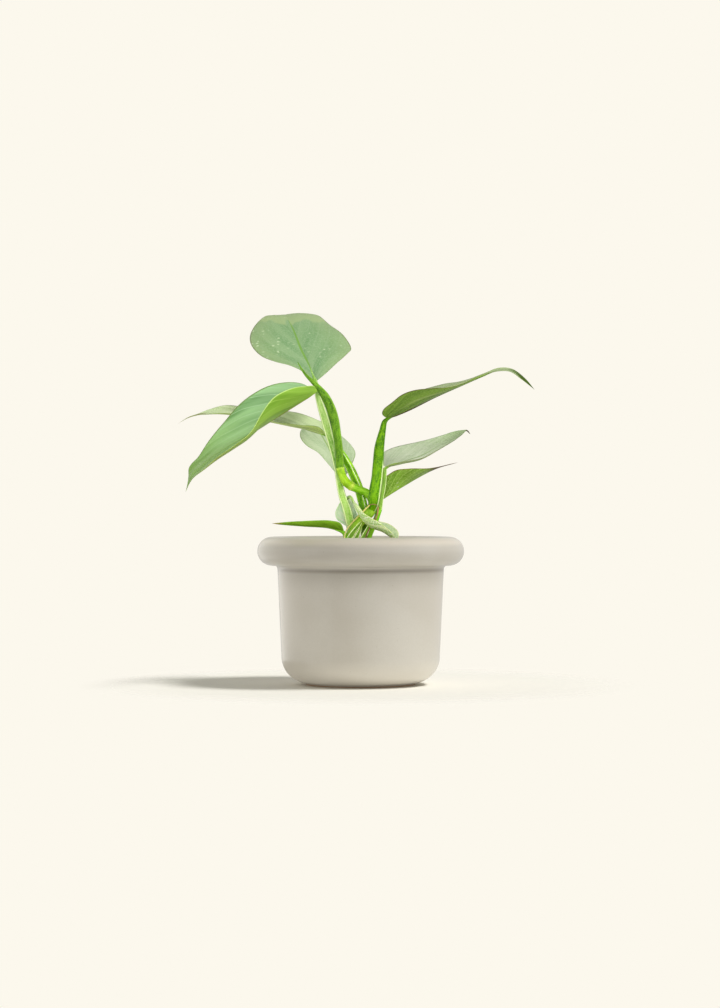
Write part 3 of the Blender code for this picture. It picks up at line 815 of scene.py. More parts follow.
def blade_lines(shape):
    """The midrib, its direction and the two margins, one point a row, in mm."""
    rows = np.arange(BLADE_ROWS + 1) / BLADE_ROWS
    base, tip = shape["midrib"][0], shape["midrib"][-1]
    spine = smooth_path(shape["midrib"], MIDRIB_STEPS)
    marks = np.arange(MIDRIB_STEPS + 1)
    spots = rows ** shape["fan"] * MIDRIB_STEPS
    mid, tangent = (np.column_stack([np.interp(spots, marks, axis) for axis in line.T])
                    for line in (spine, np.gradient(spine, axis=0)))
    left, right = (smooth_path([base] + shape[side] + [tip], BLADE_ROWS)
                   for side in ("left", "right"))
    return rows, mid, tangent, left, right


def unit(vectors):
    size = np.linalg.norm(vectors, axis=-1, keepdims=True)
    return vectors / np.maximum(size, 1e-9)


def blade_sheet(shape, seed):
    """The middle of the sheet: rows by columns of points, with the share across."""
    rows, mid, tangent, left, right = blade_lines(shape)
    across = np.linspace(-1.0, 1.0, 2 * BLADE_HALF + 1)
    share = np.abs(across)
    side = np.where(across > 0, 1.0, -1.0)
    edge = np.where(across[None, :, None] > 0, right[:, None, :], left[:, None, :])
    span = edge - mid[:, None, :]
    up = unit(np.cross(span, tangent[:, None, :]) * side[None, :, None])
    up[0], up[-1] = up[1], up[-2]
    width = np.linalg.norm(span, axis=2)
    dish = shape["belly"] * width * 4.0 * share * (1.0 - share)
    draw = np.random.default_rng(seed)
    wave = np.zeros((BLADE_ROWS + 1, 2))
    for pitch in WAVE_PITCHES:
        phase = draw.uniform(0.0, 2.0 * math.pi, 2)
        wave += np.sin(2.0 * math.pi * pitch * rows[:, None] + phase) / pitch
    wave *= (np.sin(math.pi * rows) ** 0.7)[:, None] * shape["wave"]
    ripple = wave[:, (across > 0).astype(int)] * share ** 3
    vein = shape["veins"] * (rows[:, None] - shape["slant"] * share ** 0.9)
    trough = (0.5 + 0.5 * np.cos(2.0 * math.pi * vein)) ** 5
    fading = np.minimum(1.0, width / VEIN_WIDTH) * (1.0 - rows[:, None] ** 3)
    sink = VEIN_SINK * trough * fading * np.sin(math.pi * share ** 0.8)
    lift = dish + ripple - sink
    return mid[:, None, :] + span * share[None, :, None] + up * lift[..., None], share, width


print("rows:", BLADE_ROWS, "columns:", 2 * BLADE_HALF + 1)


# %% From a sheet to a closed skin
def blade_skins(shape, seed):
    """Upper and lower points: thin at the margin, with the midrib standing out below."""
    sheet, share, width = blade_sheet(shape, seed)
    rows = np.linspace(0.0, 1.0, BLADE_ROWS + 1)[:, None]
    normals = unit(np.cross(np.gradient(sheet, axis=1), np.gradient(sheet, axis=0)))
    ends = np.minimum(1.0, END_TAPER * np.minimum(rows, 1.0 - rows))
    half = 0.5 * BLADE_THICKNESS * np.sqrt(np.maximum(0.0, 1.0 - share ** 6)) * ends
    rib = RIB_SIZE * (1.0 - RIB_TAPER * rows)
    near = np.exp(-(share * width / np.maximum(rib, 0.05)) ** 2) * ends
    upper = sheet + normals * (half - RIB_ABOVE * rib * near)[..., None]
    lower = sheet - normals * (half + RIB_BELOW * rib * near)[..., None]
    return upper, lower


def blade_mesh(name, shape, seed):
    """The closed skin with a UV map: across the blade from 0 to 1, and along it."""
    skins = np.stack(blade_skins(shape, seed))
    rows, columns = skins.shape[1:3]
    points = skins.reshape(-1, 3) * MM
    index = np.arange(rows * columns).reshape(rows, columns)
    quads = np.stack((index[:-1, :-1], index[:-1, 1:], index[1:, 1:], index[1:, :-1]), axis=-1)
    quads = quads.reshape(-1, 4)
    faces = np.vstack((quads, (quads + rows * columns)[:, ::-1]))
    mesh = bpy.data.meshes.new(name)
    mesh.from_pydata(points.tolist(), [], faces.tolist())
    u, v = np.meshgrid(np.linspace(0, 1, columns), np.linspace(0, 1, rows))
    flat = np.tile(np.column_stack((u.ravel(), v.ravel())), (2, 1))
    mesh.uv_layers.new(name="blade").data.foreach_set("uv", flat[faces.ravel()].ravel())
    is_upper = mesh.attributes.new("upper", "FLOAT", "FACE")
    is_upper.data.foreach_set("value", np.repeat((1.0, 0.0), len(quads)))
    weld = bmesh.new()
    weld.from_mesh(mesh)
    bmesh.ops.remove_doubles(weld, verts=weld.verts, dist=0.000004)
    weld.to_mesh(mesh)
    weld.free()
    mesh.shade_smooth()
    return mesh


# %% [markdown]
# ## What a blade is coloured with
#
# The silver look of this species comes from the upper skin, which scatters light and turns the green
# pale between the veins. Held against the light the lower side glows yellow-green. The pattern
# group works out masks from the blade's own UV map: side veins, fine streaks between them, slow
# patches, the midrib, the margin and the tip. A second group tints one side of the blade with them,
# and each material places it twice, once for each side.

# %% The blade pattern group
MASKS = ("Vein", "Streak", "Band", "Side", "Rib", "Edge", "Tip")
pattern, given = new_group(
    "ShaderNodeTree", "blade_pattern",
    {"UV": "Vector", "Veins": 8.0, "Slant": 0.4, "Seed": 0.0, "Rib width": 0.06,
     "Tip start": 0.93, "Tip end": 1.0, "Edge side": 0.0, "Band pitch": 8.0, "Fine pitch": 30.0},
    {label: "Float" for label in MASKS})
uv_parts = split(given["UV"])
along = uv_parts[1]
off_mid = abs(uv_parts[0] * 2.0 - 1.0)
sweep = along - off_mid ** 0.9 * given["Slant"]
half_side = uv_parts[0] > 0.5
edge_choice = calc("ADD", 1.0, given["Edge side"] * (half_side * 2.0 - 1.0), clamp=True)


def pattern_noise(pitch, across, detail):
    """A noise that is stretched along the side veins."""
    return noise(combine(sweep * pitch, off_mid * across, half_side * 7.3), given["Seed"], 1.0,
                 detail)


drift = (pattern_noise(6.0, 2.0, 1.0) - 0.5) * 0.5
count = sweep * given["Veins"] + drift
to_vein = abs(calc("FRACT", count) - 0.5) * 2.0
rib_edge = given["Rib width"] * ramp(along, 1.0, 0.0, 0.35, 1.0)
streak = ramp(pattern_noise(given["Fine pitch"], 2.2, 3.0), 0.38, 0.62)
end_group(pattern, {
    "Vein": ramp(to_vein, 0.84, 1.0),
    "Streak": streak * ramp(along, 0.95, 0.6, 0.0, 1.0),
    "Band": ramp(pattern_noise(given["Band pitch"], 1.2, 1.5), 0.34, 0.66),
    "Side": ramp(off_mid, 0.25, 1.0),
    "Rib": ramp(off_mid, rib_edge, rib_edge * 0.35),
    "Edge": ramp(off_mid, 0.955, 0.99) * edge_choice,
    "Tip": ramp(along + drift * 0.45, given["Tip start"], given["Tip end"])})

# %% The blade tint group
TINTS = ("Light", "Deep", "Vein colour", "Rib colour", "Edge colour", "Tip colour")
tint, given = new_group(
    "ShaderNodeTree", "blade_tint",
    {**{label: "Color" for label in TINTS}, **{label: 0.0 for label in MASKS},
     "Mottle": 0.0, "Streak share": 0.3, "Vein share": 0.5, "Mottle share": 0.3,
     "Side share": 0.0, "Tip share": 1.0},
    {"Colour": "Color"})
body = mix(given["Band"], given["Deep"], given["Light"])
for share, colour in ((given["Side"] * given["Side share"], "Edge colour"),
                      (given["Streak"] * given["Streak share"], "Light"),
                      (given["Vein"] * given["Vein share"], "Vein colour"),
                      (given["Mottle"] * given["Mottle share"], "Vein colour"),
                      (given["Rib"], "Rib colour"),
                      (given["Edge"], "Edge colour"),
                      (given["Tip"] * given["Tip share"], "Tip colour")):
    body = mix(share, body, given[colour])
end_group(tint, {"Colour": body})

# %% A blade's material
FLECK_SHAPE = (0.55, 1.0, 0.9)
FLECK_COLOUR = (206, 220, 180)
GLOW_COLOUR = (190, 220, 60)


def blade_finish(name, upper, lower, seed, veins, slant, glow=0.25, tip=(0.93, 1.0, 1.0),
                 rib_width=0.06, flecks=0.0, edge_side=0.0, fine=(0.4, 0.5, 0.4), side=0.0,
                 band_pitch=8.0, fine_pitch=30.0, spike=None, crease=None):
    """Two-sided leaf finish. upper and lower each give light, deep, vein, rib, edge, tip.

    tip is where the tip colour starts, where it is full and how strong it is. fine holds the
    strengths of the streaks, the veins and the mottle, and side how strongly the margin's colour
    spreads inwards. spike is where the dry point of the leaf starts, where it is full, and its colour.
    crease is a pale line that runs slantwise over each half: how far from the midrib it starts, how
    fast it moves out, its half width, its strength and its colour."""
    made, tree, shader = new_finish(name)
    spot = on_object(tree)
    uv = put(tree, "ShaderNodeUVMap", uv_map="blade")
    masks = put(tree, "ShaderNodeGroup",
                {"UV": uv, "Veins": float(veins), "Slant": slant, "Seed": seed,
                 "Rib width": rib_width, "Tip start": tip[0], "Tip end": tip[1],
                 "Edge side": edge_side, "Band pitch": band_pitch, "Fine pitch": fine_pitch},
                node_tree=pattern)
    sockets = {label: masks[label] for label in MASKS}
    sockets.update({"Mottle": add_patches(spot, 900.0, low=0.45, high=0.62),
                    "Streak share": fine[0], "Vein share": fine[1], "Mottle share": fine[2],
                    "Side share": side, "Tip share": tip[2]})
    below, above = (put(tree, "ShaderNodeGroup",
                        {**sockets, **{label: paint(*colour)
                                       for label, colour in zip(TINTS, colours)}},
                        node_tree=tint) for colours in (lower, upper))
    tone = mix(attribute(tree, "upper"), below, above)
    if flecks:
        dots = add_speckles(vector("MULTIPLY", spot, FLECK_SHAPE), 460.0, 0.36, flecks)
        where = add_patches(spot, 45.0, low=0.5, high=0.62)
        tone = mix(dots * (where * 0.6), tone, FLECK_COLOUR)
    across, end = split(uv)[0], split(uv)[1]
    if spike:
        tone = mix(ramp(end, spike[0], spike[1]), tone, spike[2])
    if crease:
        start, slope, half_width, share, colour = crease
        off_line = abs(abs(across * 2.0 - 1.0) - (end * slope + start))
        line = ramp(off_line, half_width, 0.0, 0.0, share) * ramp(end, 0.1, 0.3)
        tone = mix(line, tone, colour)
    fill(tree, shader,
         {"Base Color": tone, "Specular IOR Level": 0.3,
          "Roughness": ramp(masks["Streak"], 0.0, 1.0, 0.40, 0.52),
          "Normal": relief(masks["Streak"] * 0.5 - masks["Vein"], 0.25, 0.00015)})
    through = put(tree, "ShaderNodeBsdfTranslucent", {"Color": mix(0.35, tone, GLOW_COLOUR)})
    both = put(tree, "ShaderNodeMixShader", {0: glow, 1: Value(tree, shader), 2: through})
    fill(tree, tree.nodes["Material Output"], {"Surface": both})
    return made


# %% One call for a whole leaf
LEAF_SLOTS = {"silver": "leaf_silver_green", "green": "leaf_mid_green"}


def leaf(name, kind, draw_seed, midrib, left, right, form, upper, lower, node=None, **looks):
    """Make one leaf blade over its solid.

    form has the row spacing, belly, margin wave and side veins of the sheet. The painted veins
    follow it unless looks gives its own."""
    piece_name = name + "_blade"
    mesh = blade_mesh(piece_name, dict(form, midrib=midrib, left=left, right=right), draw_seed)
    looks = {"veins": form["veins"], "slant": form["slant"], **looks}
    mesh.materials.append(blade_finish(kind + "_" + name, upper, lower, **looks))
    keep(link_object(piece_name, mesh), LEAF_SLOTS[kind], node or "leaf_" + name)


# %% [markdown]
# ## The top leaf
#
# The broadest leaf faces the viewer and leans back, so its upper side shows whole and its tip hangs
# out of sight behind. Its silver face has a darker green midrib and pale flecks.

# %% Make the top leaf
leaf("top", "silver", 11,
     midrib=[(-34, 4, 227), (-39, 14, 240), (-45, 25, 252), (-50, 38, 265), (-55, 52, 276),
             (-58, 66, 282), (-57, 80, 280), (-55, 90, 272), (-51, 96, 258)],
     left=[(-43, 6, 234.5), (-53, 9, 239.5), (-64, 13, 242.5), (-75, 20, 247.5), (-83, 29, 256),
           (-84.5, 40, 264.5), (-80, 52, 274), (-73, 62, 281), (-71, 74, 279), (-66, 84, 280),
           (-58, 91, 272)],
     right=[(-27, 8, 233), (-18, 16, 242), (-10.3, 24, 249.3), (-7.2, 30, 253.5), (-13, 40, 264),
            (-23, 51, 273), (-33, 64, 281.5), (-41, 77, 281.5), (-47, 90, 271)],
     form=dict(fan=1.25, belly=0.05, veins=9, slant=0.45, wave=0.5),
     upper=[(134, 163, 117), (108, 145, 96), (150, 174, 134), (116, 156, 74), (150, 168, 115),
            (160, 178, 126)],
     lower=[(130, 159, 98), (105, 137, 68), (137, 163, 102), (122, 155, 72), (130, 155, 89),
            (122, 125, 72)],
     seed=1.0, flecks=0.30, tip=(0.58, 0.61, 0.75), rib_width=0.045, fine=(0.4, 0.35, 0.5),
     side=0.6, fine_pitch=50.0)

# %% [markdown]
# ## The left leaf
#
# The longest leaf arches down to the left, folded like a boat. The far half shows its silvery upper
# side with broad pale bands. The near half is seen from below, and the light from behind turns it
# lime green. The margin has a fine pale line, and the tip curls down.

# %% Make the left leaf
leaf("left", "silver", 12,
     midrib=[(-32.2, -8.6, 219.4), (-45, -17, 211), (-63, -27, 199), (-80, -37, 187.6),
             (-96, -46, 178), (-109, -54, 169.5), (-118, -59, 162), (-123.5, -62, 156.5),
             (-125.4, -63, 150.5), (-127.2, -63, 143.8)],
     left=[(-34.2, -11.5, 222.9), (-39.5, -22, 223), (-52, -38, 220.4), (-63, -48, 214),
           (-72, -57, 201.5), (-80.5, -66, 186.5), (-91, -73, 178), (-103, -78, 169.5),
           (-113, -76, 161), (-120.6, -71, 154.8), (-124.4, -66.5, 149.8)],
     right=[(-45, -9, 225.6), (-59, -11, 225.8), (-73, -14, 221.5), (-89.5, -22, 209.8),
            (-102.5, -28, 194.3), (-112.5, -35, 180.8), (-119.6, -42, 169.6),
            (-123.6, -47.5, 165.4), (-125.7, -52, 161.6), (-125.7, -57, 155.6),
            (-126.1, -60.5, 150.1)],
     form=dict(fan=1.1, belly=-0.1, veins=7, slant=0.5, wave=0.5),
     upper=[(152, 190, 135), (89, 132, 77), (170, 203, 156), (116, 150, 56), (125, 157, 88),
            (124, 155, 65)],
     lower=[(152, 195, 72), (118, 162, 45), (171, 206, 90), (158, 160, 66), (190, 216, 128),
            (172, 178, 82)],
     seed=2.0, veins=9, tip=(0.3, 0.95, 0.7), fine=(0.4, 0.7, 0.0), band_pitch=5.0,
     fine_pitch=18.0)

# %% [markdown]
# ## The far left leaf
#
# A narrow leaf behind the left one. It shows its pale upper side edge-on, a strip of its lower side
# with a darker margin, and a long thin olive tip.

# %% Make the far left leaf
leaf("far_left", "silver", 13,
     midrib=[(-25, 13, 187), (-38, 15, 191), (-50, 17, 195), (-69, 18, 200), (-88, 18, 203),
             (-105, 17, 205), (-119, 16, 204), (-130, 15, 201), (-138, 14, 196)],
     left=[(-32, 4, 193.4), (-45, -3, 194.4), (-64, -5, 197.3), (-83, -3, 201.2),
           (-102, 2, 203.6), (-117, 9, 203), (-123.5, 14.4, 202.4), (-130.5, 14.4, 200.4)],
     right=[(-26, 20, 195.2), (-34, 26, 199.8), (-48, 33, 204.8), (-65, 37, 207.3),
            (-85, 37, 209), (-103, 32, 210.4), (-116, 24, 207), (-124, 16.6, 203.4),
            (-130.5, 15.6, 201)],
     form=dict(fan=1.1, belly=-0.08, veins=8, slant=0.5, wave=0.4),
     upper=[(208, 221, 176), (170, 189, 135), (219, 228, 193), (154, 175, 100), (174, 193, 135),
            (140, 146, 92)],
     lower=[(204, 226, 132), (153, 182, 84), (234, 241, 164), (127, 148, 63), (110, 132, 62),
            (172, 176, 118)],
     seed=3.0, tip=(0.82, 0.88, 1.0), fine=(0.5, 0.6, 0.4))

# %% [markdown]
# ## The back leaf
#
# A pale, rounded leaf behind the stalks. Its upper side faces the viewer and almost glows.

# %% Make the back leaf
leaf("back", "silver", 14,
     midrib=[(-14, 21, 154), (-19, 27, 164), (-24, 36, 177), (-30, 46, 188), (-34, 58, 196),
             (-35, 70, 199), (-36, 81, 195), (-37, 89, 188)],
     left=[(-19, 21, 159), (-26, 24, 167), (-32, 28, 174), (-41, 34, 180), (-46, 41, 186),
           (-46, 50, 192), (-42, 61, 196), (-39, 74, 195)],
     right=[(-10, 23, 159), (-6, 29, 167), (-4, 36, 174), (-7, 44, 180), (-14, 53, 187),
            (-22, 63, 194), (-31, 75, 195)],
     form=dict(fan=1.1, belly=0.05, veins=7, slant=0.45, wave=0.4),
     upper=[(193, 205, 172), (162, 184, 141), (209, 217, 190), (151, 179, 109), (153, 183, 105),
            (160, 175, 109)],
     lower=[(160, 180, 117), (131, 159, 87), (165, 185, 123), (151, 175, 91), (154, 175, 100),
            (151, 148, 91)],
     seed=4.0)

# %% [markdown]
# ## The right top leaf
#
# A long leaf on the thick right petiole, seen from below: a dark green lower side, a straight brown
# keel, a pale line above it and a twisted neck that ends in a thin drooping tip.

# %% Make the right top leaf
leaf("right_top", "green", 15,
     midrib=[(20, 0, 199.3), (36, 2, 205.8), (56, 6, 215.8), (75, 10, 224.3), (92, 14, 231.8),
             (104, 17, 236.6), (114, 19, 236.6), (124, 21, 230.7), (132, 22, 222)],
     left=[(17.4, 6, 203), (19, 13, 208), (27, 20, 213), (39, 26, 219.4), (53, 29, 224.2),
           (64, 28, 227.2), (74, 25, 228.4), (83, 21, 230.6), (94, 18, 234.6), (105, 20, 238.6),
           (115, 22, 237.9), (125, 24, 230.6)],
     right=[(16.2, -4, 202.4), (17, -9, 206), (23, -14, 210.8), (31, -18, 216.8), (40, -19, 220),
            (52, -16, 221.4), (65, -6, 222.6), (78, 4, 226.6), (90, 12, 232), (103, 15, 235.6),
            (113, 16, 235.4), (122, 18, 229.6)],
     form=dict(fan=1.2, belly=-0.08, veins=9, slant=0.5, wave=0.3),
     upper=[(164, 178, 136), (137, 156, 108), (176, 186, 146), (107, 128, 60), (126, 147, 83),
            (65, 87, 22)],
     lower=[(124, 156, 58), (78, 111, 27), (147, 179, 81), (84, 70, 22), (86, 75, 31),
            (48, 76, 8)],
     seed=5.0, veins=11, slant=0.55, tip=(0.83, 0.87, 1.0), fine=(0.55, 0.6, 0.4), rib_width=0.12,
     crease=(0.3, 0.75, 0.1, 0.75, (163, 182, 104)))

# %% [markdown]
# ## The right middle leaf
#
# A pale silver leaf below it. Its far half stands up behind the near one, whose margin is olive
# brown, and it ends in a small dark hooked tip.

# %% Make the right middle leaf
leaf("right_middle", "silver", 16,
     midrib=[(19, 4, 163), (33, 10, 167.6), (46, 15, 172), (57, 20, 178), (69, 25, 184),
             (77.5, 29, 189.6), (80.5, 30, 191.6), (82.5, 31.5, 190), (83.5, 32, 188.6)],
     left=[(14, 11, 167.5), (15, 18, 173), (22, 22, 177), (31, 25, 179.8), (45, 30, 183.2),
           (61, 34, 187.4), (72, 35, 191), (78, 32, 191.8), (81, 30.8, 191.8), (83, 32.1, 189.8)],
     right=[(21, -2, 164.2), (32, -7, 167), (45, -5, 169.4), (57, 4, 175.6), (68, 14, 182),
            (76.5, 25, 187.6), (80.3, 29.4, 190.9), (82.2, 31.2, 189.6)],
     form=dict(fan=1.1, belly=-0.08, veins=8, slant=0.5, wave=0.3),
     upper=[(214, 222, 196), (188, 203, 167), (226, 231, 210), (159, 184, 119), (140, 128, 62),
            (138, 166, 104)],
     lower=[(195, 210, 156), (159, 182, 115), (203, 216, 167), (100, 130, 44), (118, 103, 55),
            (60, 61, 30)],
     seed=6.0, veins=10, tip=(0.35, 0.95, 0.75), fine=(0.6, 0.8, 0.5), edge_side=1.0,
     spike=(0.93, 0.95, (58, 46, 14)))

# %% [markdown]
# ## The right low leaf
#
# A triangular view of a leaf from below, mid green, with veins that fan out from the lower left and
# reddish brown margins that run out to a thin dry tip.

# %% Make the right low leaf
leaf("right_low", "green", 17,
     midrib=[(13, 13, 137), (19, 14, 141), (32, 17, 149), (46, 20, 157), (54, 22, 161),
             (62, 24, 164), (74, 25, 167)],
     left=[(10, 19, 143), (11, 26, 149), (16, 33, 154), (25, 38, 158), (36, 39, 160),
           (47, 36, 161), (56, 31, 163)],
     right=[(11, 10, 144), (13, 9, 152), (20, 8, 157), (27, 4, 161), (36, 2, 162), (46, 7, 162),
            (55, 15, 163)],
     form=dict(fan=1.1, belly=-0.06, veins=7, slant=0.35, wave=0.3),
     upper=[(187, 210, 120), (156, 191, 97), (200, 220, 134), (158, 192, 82), (171, 147, 72),
            (104, 72, 30)],
     lower=[(140, 182, 64), (106, 146, 38), (192, 220, 114), (147, 187, 62), (133, 93, 43),
            (92, 62, 24)],
     seed=7.0, veins=11, tip=(0.62, 0.8, 1.0), fine=(0.5, 0.9, 0.4), flecks=0.2, fine_pitch=22.0)

# %% [markdown]
# ## The three small leaves at the base
# A rolled green leaf lies low to the left with a straw-coloured tip, a small one stands up behind
# the stalks, and a folded light green one hangs down in front of them. The small leaf's colours and
# the folded leaf's lower side are lifted close to white: painted light that makes up for the shade
# they stand in.

# %% Make the low left leaf
leaf("low_left", "green", 18,
     midrib=[(-12, -8, 114), (-17, -10, 116), (-25, -13, 118), (-41, -18, 119), (-55, -23, 120),
             (-66, -26, 121)],
     left=[(-15, -14, 120.3), (-23, -18, 123), (-34, -22, 123.2), (-45, -24, 122.7),
           (-56, -26.5, 122)],
     right=[(-15, -6, 121), (-22, -8, 123), (-33, -11, 123.2), (-45, -16, 122.7), (-56, -21, 122)],
     form=dict(fan=1.0, belly=-0.1, veins=7, slant=0.4, wave=0.1),
     upper=[(154, 195, 64), (113, 156, 38), (168, 205, 78), (126, 169, 49), (140, 181, 56),
            (158, 136, 62)],
     lower=[(132, 181, 41), (103, 146, 23), (146, 192, 56), (119, 166, 36), (113, 154, 36),
            (158, 136, 62)],
     seed=8.0, tip=(0.84, 0.97, 1.0))

# %% Make the small upright leaf
# Painted light: the colours are lifted close to white against the shade behind the stalks.
leaf("small", "silver", 19, node="leaf_small_upright",
     midrib=[(-9, 12, 118), (-10, 12, 125), (-11, 14, 132), (-12, 16, 142)],
     left=[(-13, 12, 120), (-18, 12, 124), (-19, 12, 129), (-16, 14, 136)],
     right=[(-5, 13, 120), (-2, 13, 125), (-4, 13, 131), (-7, 14, 138)],
     form=dict(fan=1.0, belly=-0.1, veins=5, slant=0.4, wave=0.1),
     upper=[(241, 241, 223), (198, 241, 187), (241, 241, 228), (192, 241, 138), (203, 241, 138),
            (192, 241, 128)],
     lower=[(178, 241, 138), (148, 219, 103), (188, 241, 147), (162, 233, 108), (178, 225, 118),
            (178, 225, 118)],
     seed=9.0)

# %% Make the low front leaf
# Painted light: the lower side's colours are lifted close to white, since it faces down into shade.
leaf("low_front", "silver", 20,
     midrib=[(-6, -3, 139), (-3, -9, 131), (2, -13, 123), (8, -18, 118), (16, -23, 115),
             (22, -29, 111), (27, -34, 107)],
     left=[(-1.5, -6.5, 134), (5, -10, 126), (12, -12, 123), (20, -16, 121), (25, -21, 118),
           (28, -27, 114)],
     right=[(-2.5, -13.5, 134.5), (2, -19, 129), (8, -26, 125), (15, -32, 121), (20, -36, 117),
            (24, -38, 113)],
     form=dict(fan=1.0, belly=-0.1, veins=7, slant=0.5, wave=0.2),
     upper=[(190, 205, 162), (157, 182, 131), (205, 215, 178), (173, 191, 111), (209, 205, 118),
            (195, 190, 128)],
     lower=[(236, 254, 168), (150, 204, 84), (255, 255, 238), (232, 236, 118), (252, 252, 180),
            (248, 244, 140)],
     seed=12.0, veins=12, fine=(0.5, 0.8, 0.8), band_pitch=9.0, fine_pitch=16.0)

# %% [markdown]
# ## The main stem
#
# A climbing stem is a chain of internodes with a ring at each node. From the soil a light green
# sheathed stretch leans right, a short bright internode turns back to the left, and beyond a pale
# ring a young yellow-green stretch carries the left petiole.

# %% Grow the main stem
stem_finish = stalk_finish(
    "stem_skin",
    {0.0: (139, 177, 45), 0.3: (127, 173, 34), 0.5: (104, 157, 13), 0.66: (106, 173, 5),
     0.78: (115, 181, 9), 0.805: (194, 210, 85), 0.83: (142, 183, 13), 0.97: (138, 185, 8),
     0.985: (189, 207, 86), 1.0: (120, 173, 29)},
    (175, 211, 69), (78, 130, 5), (213, 223, 118), seed=1.0, streak=0.5)
stalk("main_stem", "vine_stem", "stem_green",
      [(-8.5, -3, 93, 4.2), (-8.5, -3, 104.5, 4.2), (-6.5, -3, 113, 4.2), (0, -2, 123, 4.2),
       (7, 0, 130, 4.2), (9, 4, 136, 3.3), (5.5, 5, 143, 3.0), (-0.5, 3.5, 146, 3.0),
       (-8, 1, 149.5, 3.3), (-12, 0, 153, 3.3), (-14.5, 0, 158, 3.2), (-15.6, 0, 163.2, 3.2)],
      stem_finish, rib_depth=0.02, ridges=[(0.805, 0.35, 0.7), (0.985, 0.3, 0.6)], seed=1.0)

# %% [markdown]
# ## Petioles
#
# Each petiole has the colour and the girth of its own place on the plant. The left one is dark green
# with a pointed sheath tip that stands past the leaf, the tall one behind it is pale and speckled,
# and the thick right one is bright with a pale wing along its lower half. The stops give the colour
# at each share of the length.

# %% Grow the left petiole
left_petiole_finish = stalk_finish(
    "petiole_left_skin",
    {0.0: (77, 125, 9), 0.3: (83, 131, 15), 0.55: (64, 107, 15), 0.75: (73, 118, 18),
     1.0: (98, 141, 30)},
    (113, 157, 34), (45, 86, 7), (137, 177, 54), seed=2.0, wing_share=0.4, streak=0.75,
    speckle=0.7)
stalk("left_petiole", "petiole_left", "stem_green",
      [(-15.6, 0, 162.6, 3.25), (-15.8, 0, 163.9, 3.2), (-16.2, -1, 174.5, 3.1),
       (-17.5, -2.5, 185.5, 3.1), (-20, -4, 199, 3.6), (-23, -5, 208.5, 3.5),
       (-26.8, -6, 216, 3.1), (-31.8, -6.5, 222.4, 2.2), (-36.2, -7, 227, 1.5),
       (-40.6, -7.7, 231.4, 1.05), (-44, -8.4, 236, 0.7), (-47, -9, 241.3, 0.3)],
      left_petiole_finish, facing=(0.69, 0.72, 0.0), channel_width=0.115, channel_depth=0.12,
      wing_height=0.08, seed=2.0)

# %% Grow the tall petiole
tall_finish = stalk_finish(
    "petiole_tall_skin",
    {0.0: (131, 175, 61), 0.3: (142, 186, 71), 0.42: (131, 177, 59), 0.47: (80, 136, 18),
     0.6: (86, 142, 22), 0.66: (150, 186, 88), 0.84: (160, 194, 106), 0.9: (105, 150, 52),
     1.0: (93, 140, 43)},
    (192, 213, 139), (108, 158, 45), (217, 231, 168), seed=3.0, wing_share=1.0, streak=0.6,
    speckle=0.5)
stalk("tall_petiole", "petiole_top", "petiole_green",
      [(-5.4, 5.5, 93, 3.3), (-5.4, 5.5, 104.5, 3.3), (-6, 5, 113, 3.4), (-7.9, 3.5, 122, 3.5),
       (-10.6, 2, 132.5, 3.3), (-13.8, 3, 141.5, 2.8), (-15.5, 6.5, 149, 2.6),
       (-17, 7, 159.5, 2.6), (-19.5, 6, 171, 2.5), (-23, 4.5, 185, 2.9), (-26.7, 3, 198.5, 3.1),
       (-29.7, 2.5, 208, 2.7), (-32, 2.5, 216, 2.2), (-33.7, 3.4, 226, 1.8), (-36, 8, 232, 1.0),
       (-38, 12, 237.5, 0.5)],
      tall_finish, channel_width=0.075, channel_depth=0.1, wing_height=0.08, seed=3.0)

# %% Grow the far left petiole
far_left_petiole_finish = stalk_finish(
    "petiole_far_left_skin",
    {0.0: (128, 188, 21), 0.5: (121, 186, 11), 0.75: (113, 175, 16), 1.0: (185, 220, 89)},
    (178, 231, 56), (64, 118, 5), (241, 241, 209), seed=4.0, wing_share=0.8, streak=0.8,
    speckle=0.8, hollow_share=0.7, wing_from=0.68)
stalk("far_left_petiole", "petiole_far_left", "stem_green",
      [(4, 10, 93, 3.4), (4, 10, 104.5, 3.4), (4, 10, 116, 3.4), (3, 10.5, 128, 3.4),
       (0.5, 11, 140, 3.4), (-2, 11, 149, 3.3), (-4.5, 11, 155, 3.3), (-7.5, 11.5, 161.5, 3.2),
       (-11, 12.5, 168, 2.9), (-16, 13.5, 176, 2.4), (-21.5, 13.5, 183.5, 1.9),
       (-24, 13, 186.5, 1.6), (-28, 13.4, 188, 0.9), (-33, 14.2, 189.3, 0.4)],
      far_left_petiole_finish, facing=(-0.36, -0.93, 0.0), channel_width=0.06,
      channel_depth=0.2, wing_height=0.12, seed=4.0)

# %% Grow the back petiole
stalk("back_petiole", "petiole_back", "petiole_green",
      [(2, 17, 93, 2), (2, 17, 104.5, 2), (2, 17, 115.5, 2), (2, 17, 129.5, 2),
       (0.5, 17, 138.5, 2), (-3, 18, 145.5, 1.9), (-8.5, 19.5, 150, 1.7),
       (-13.5, 20.7, 153.4, 1.5), (-17, 24, 159, 0.8), (-19, 27, 163.5, 0.4)],
      tall_finish, channel_depth=0.1, wing_height=0.06, seed=5.0)

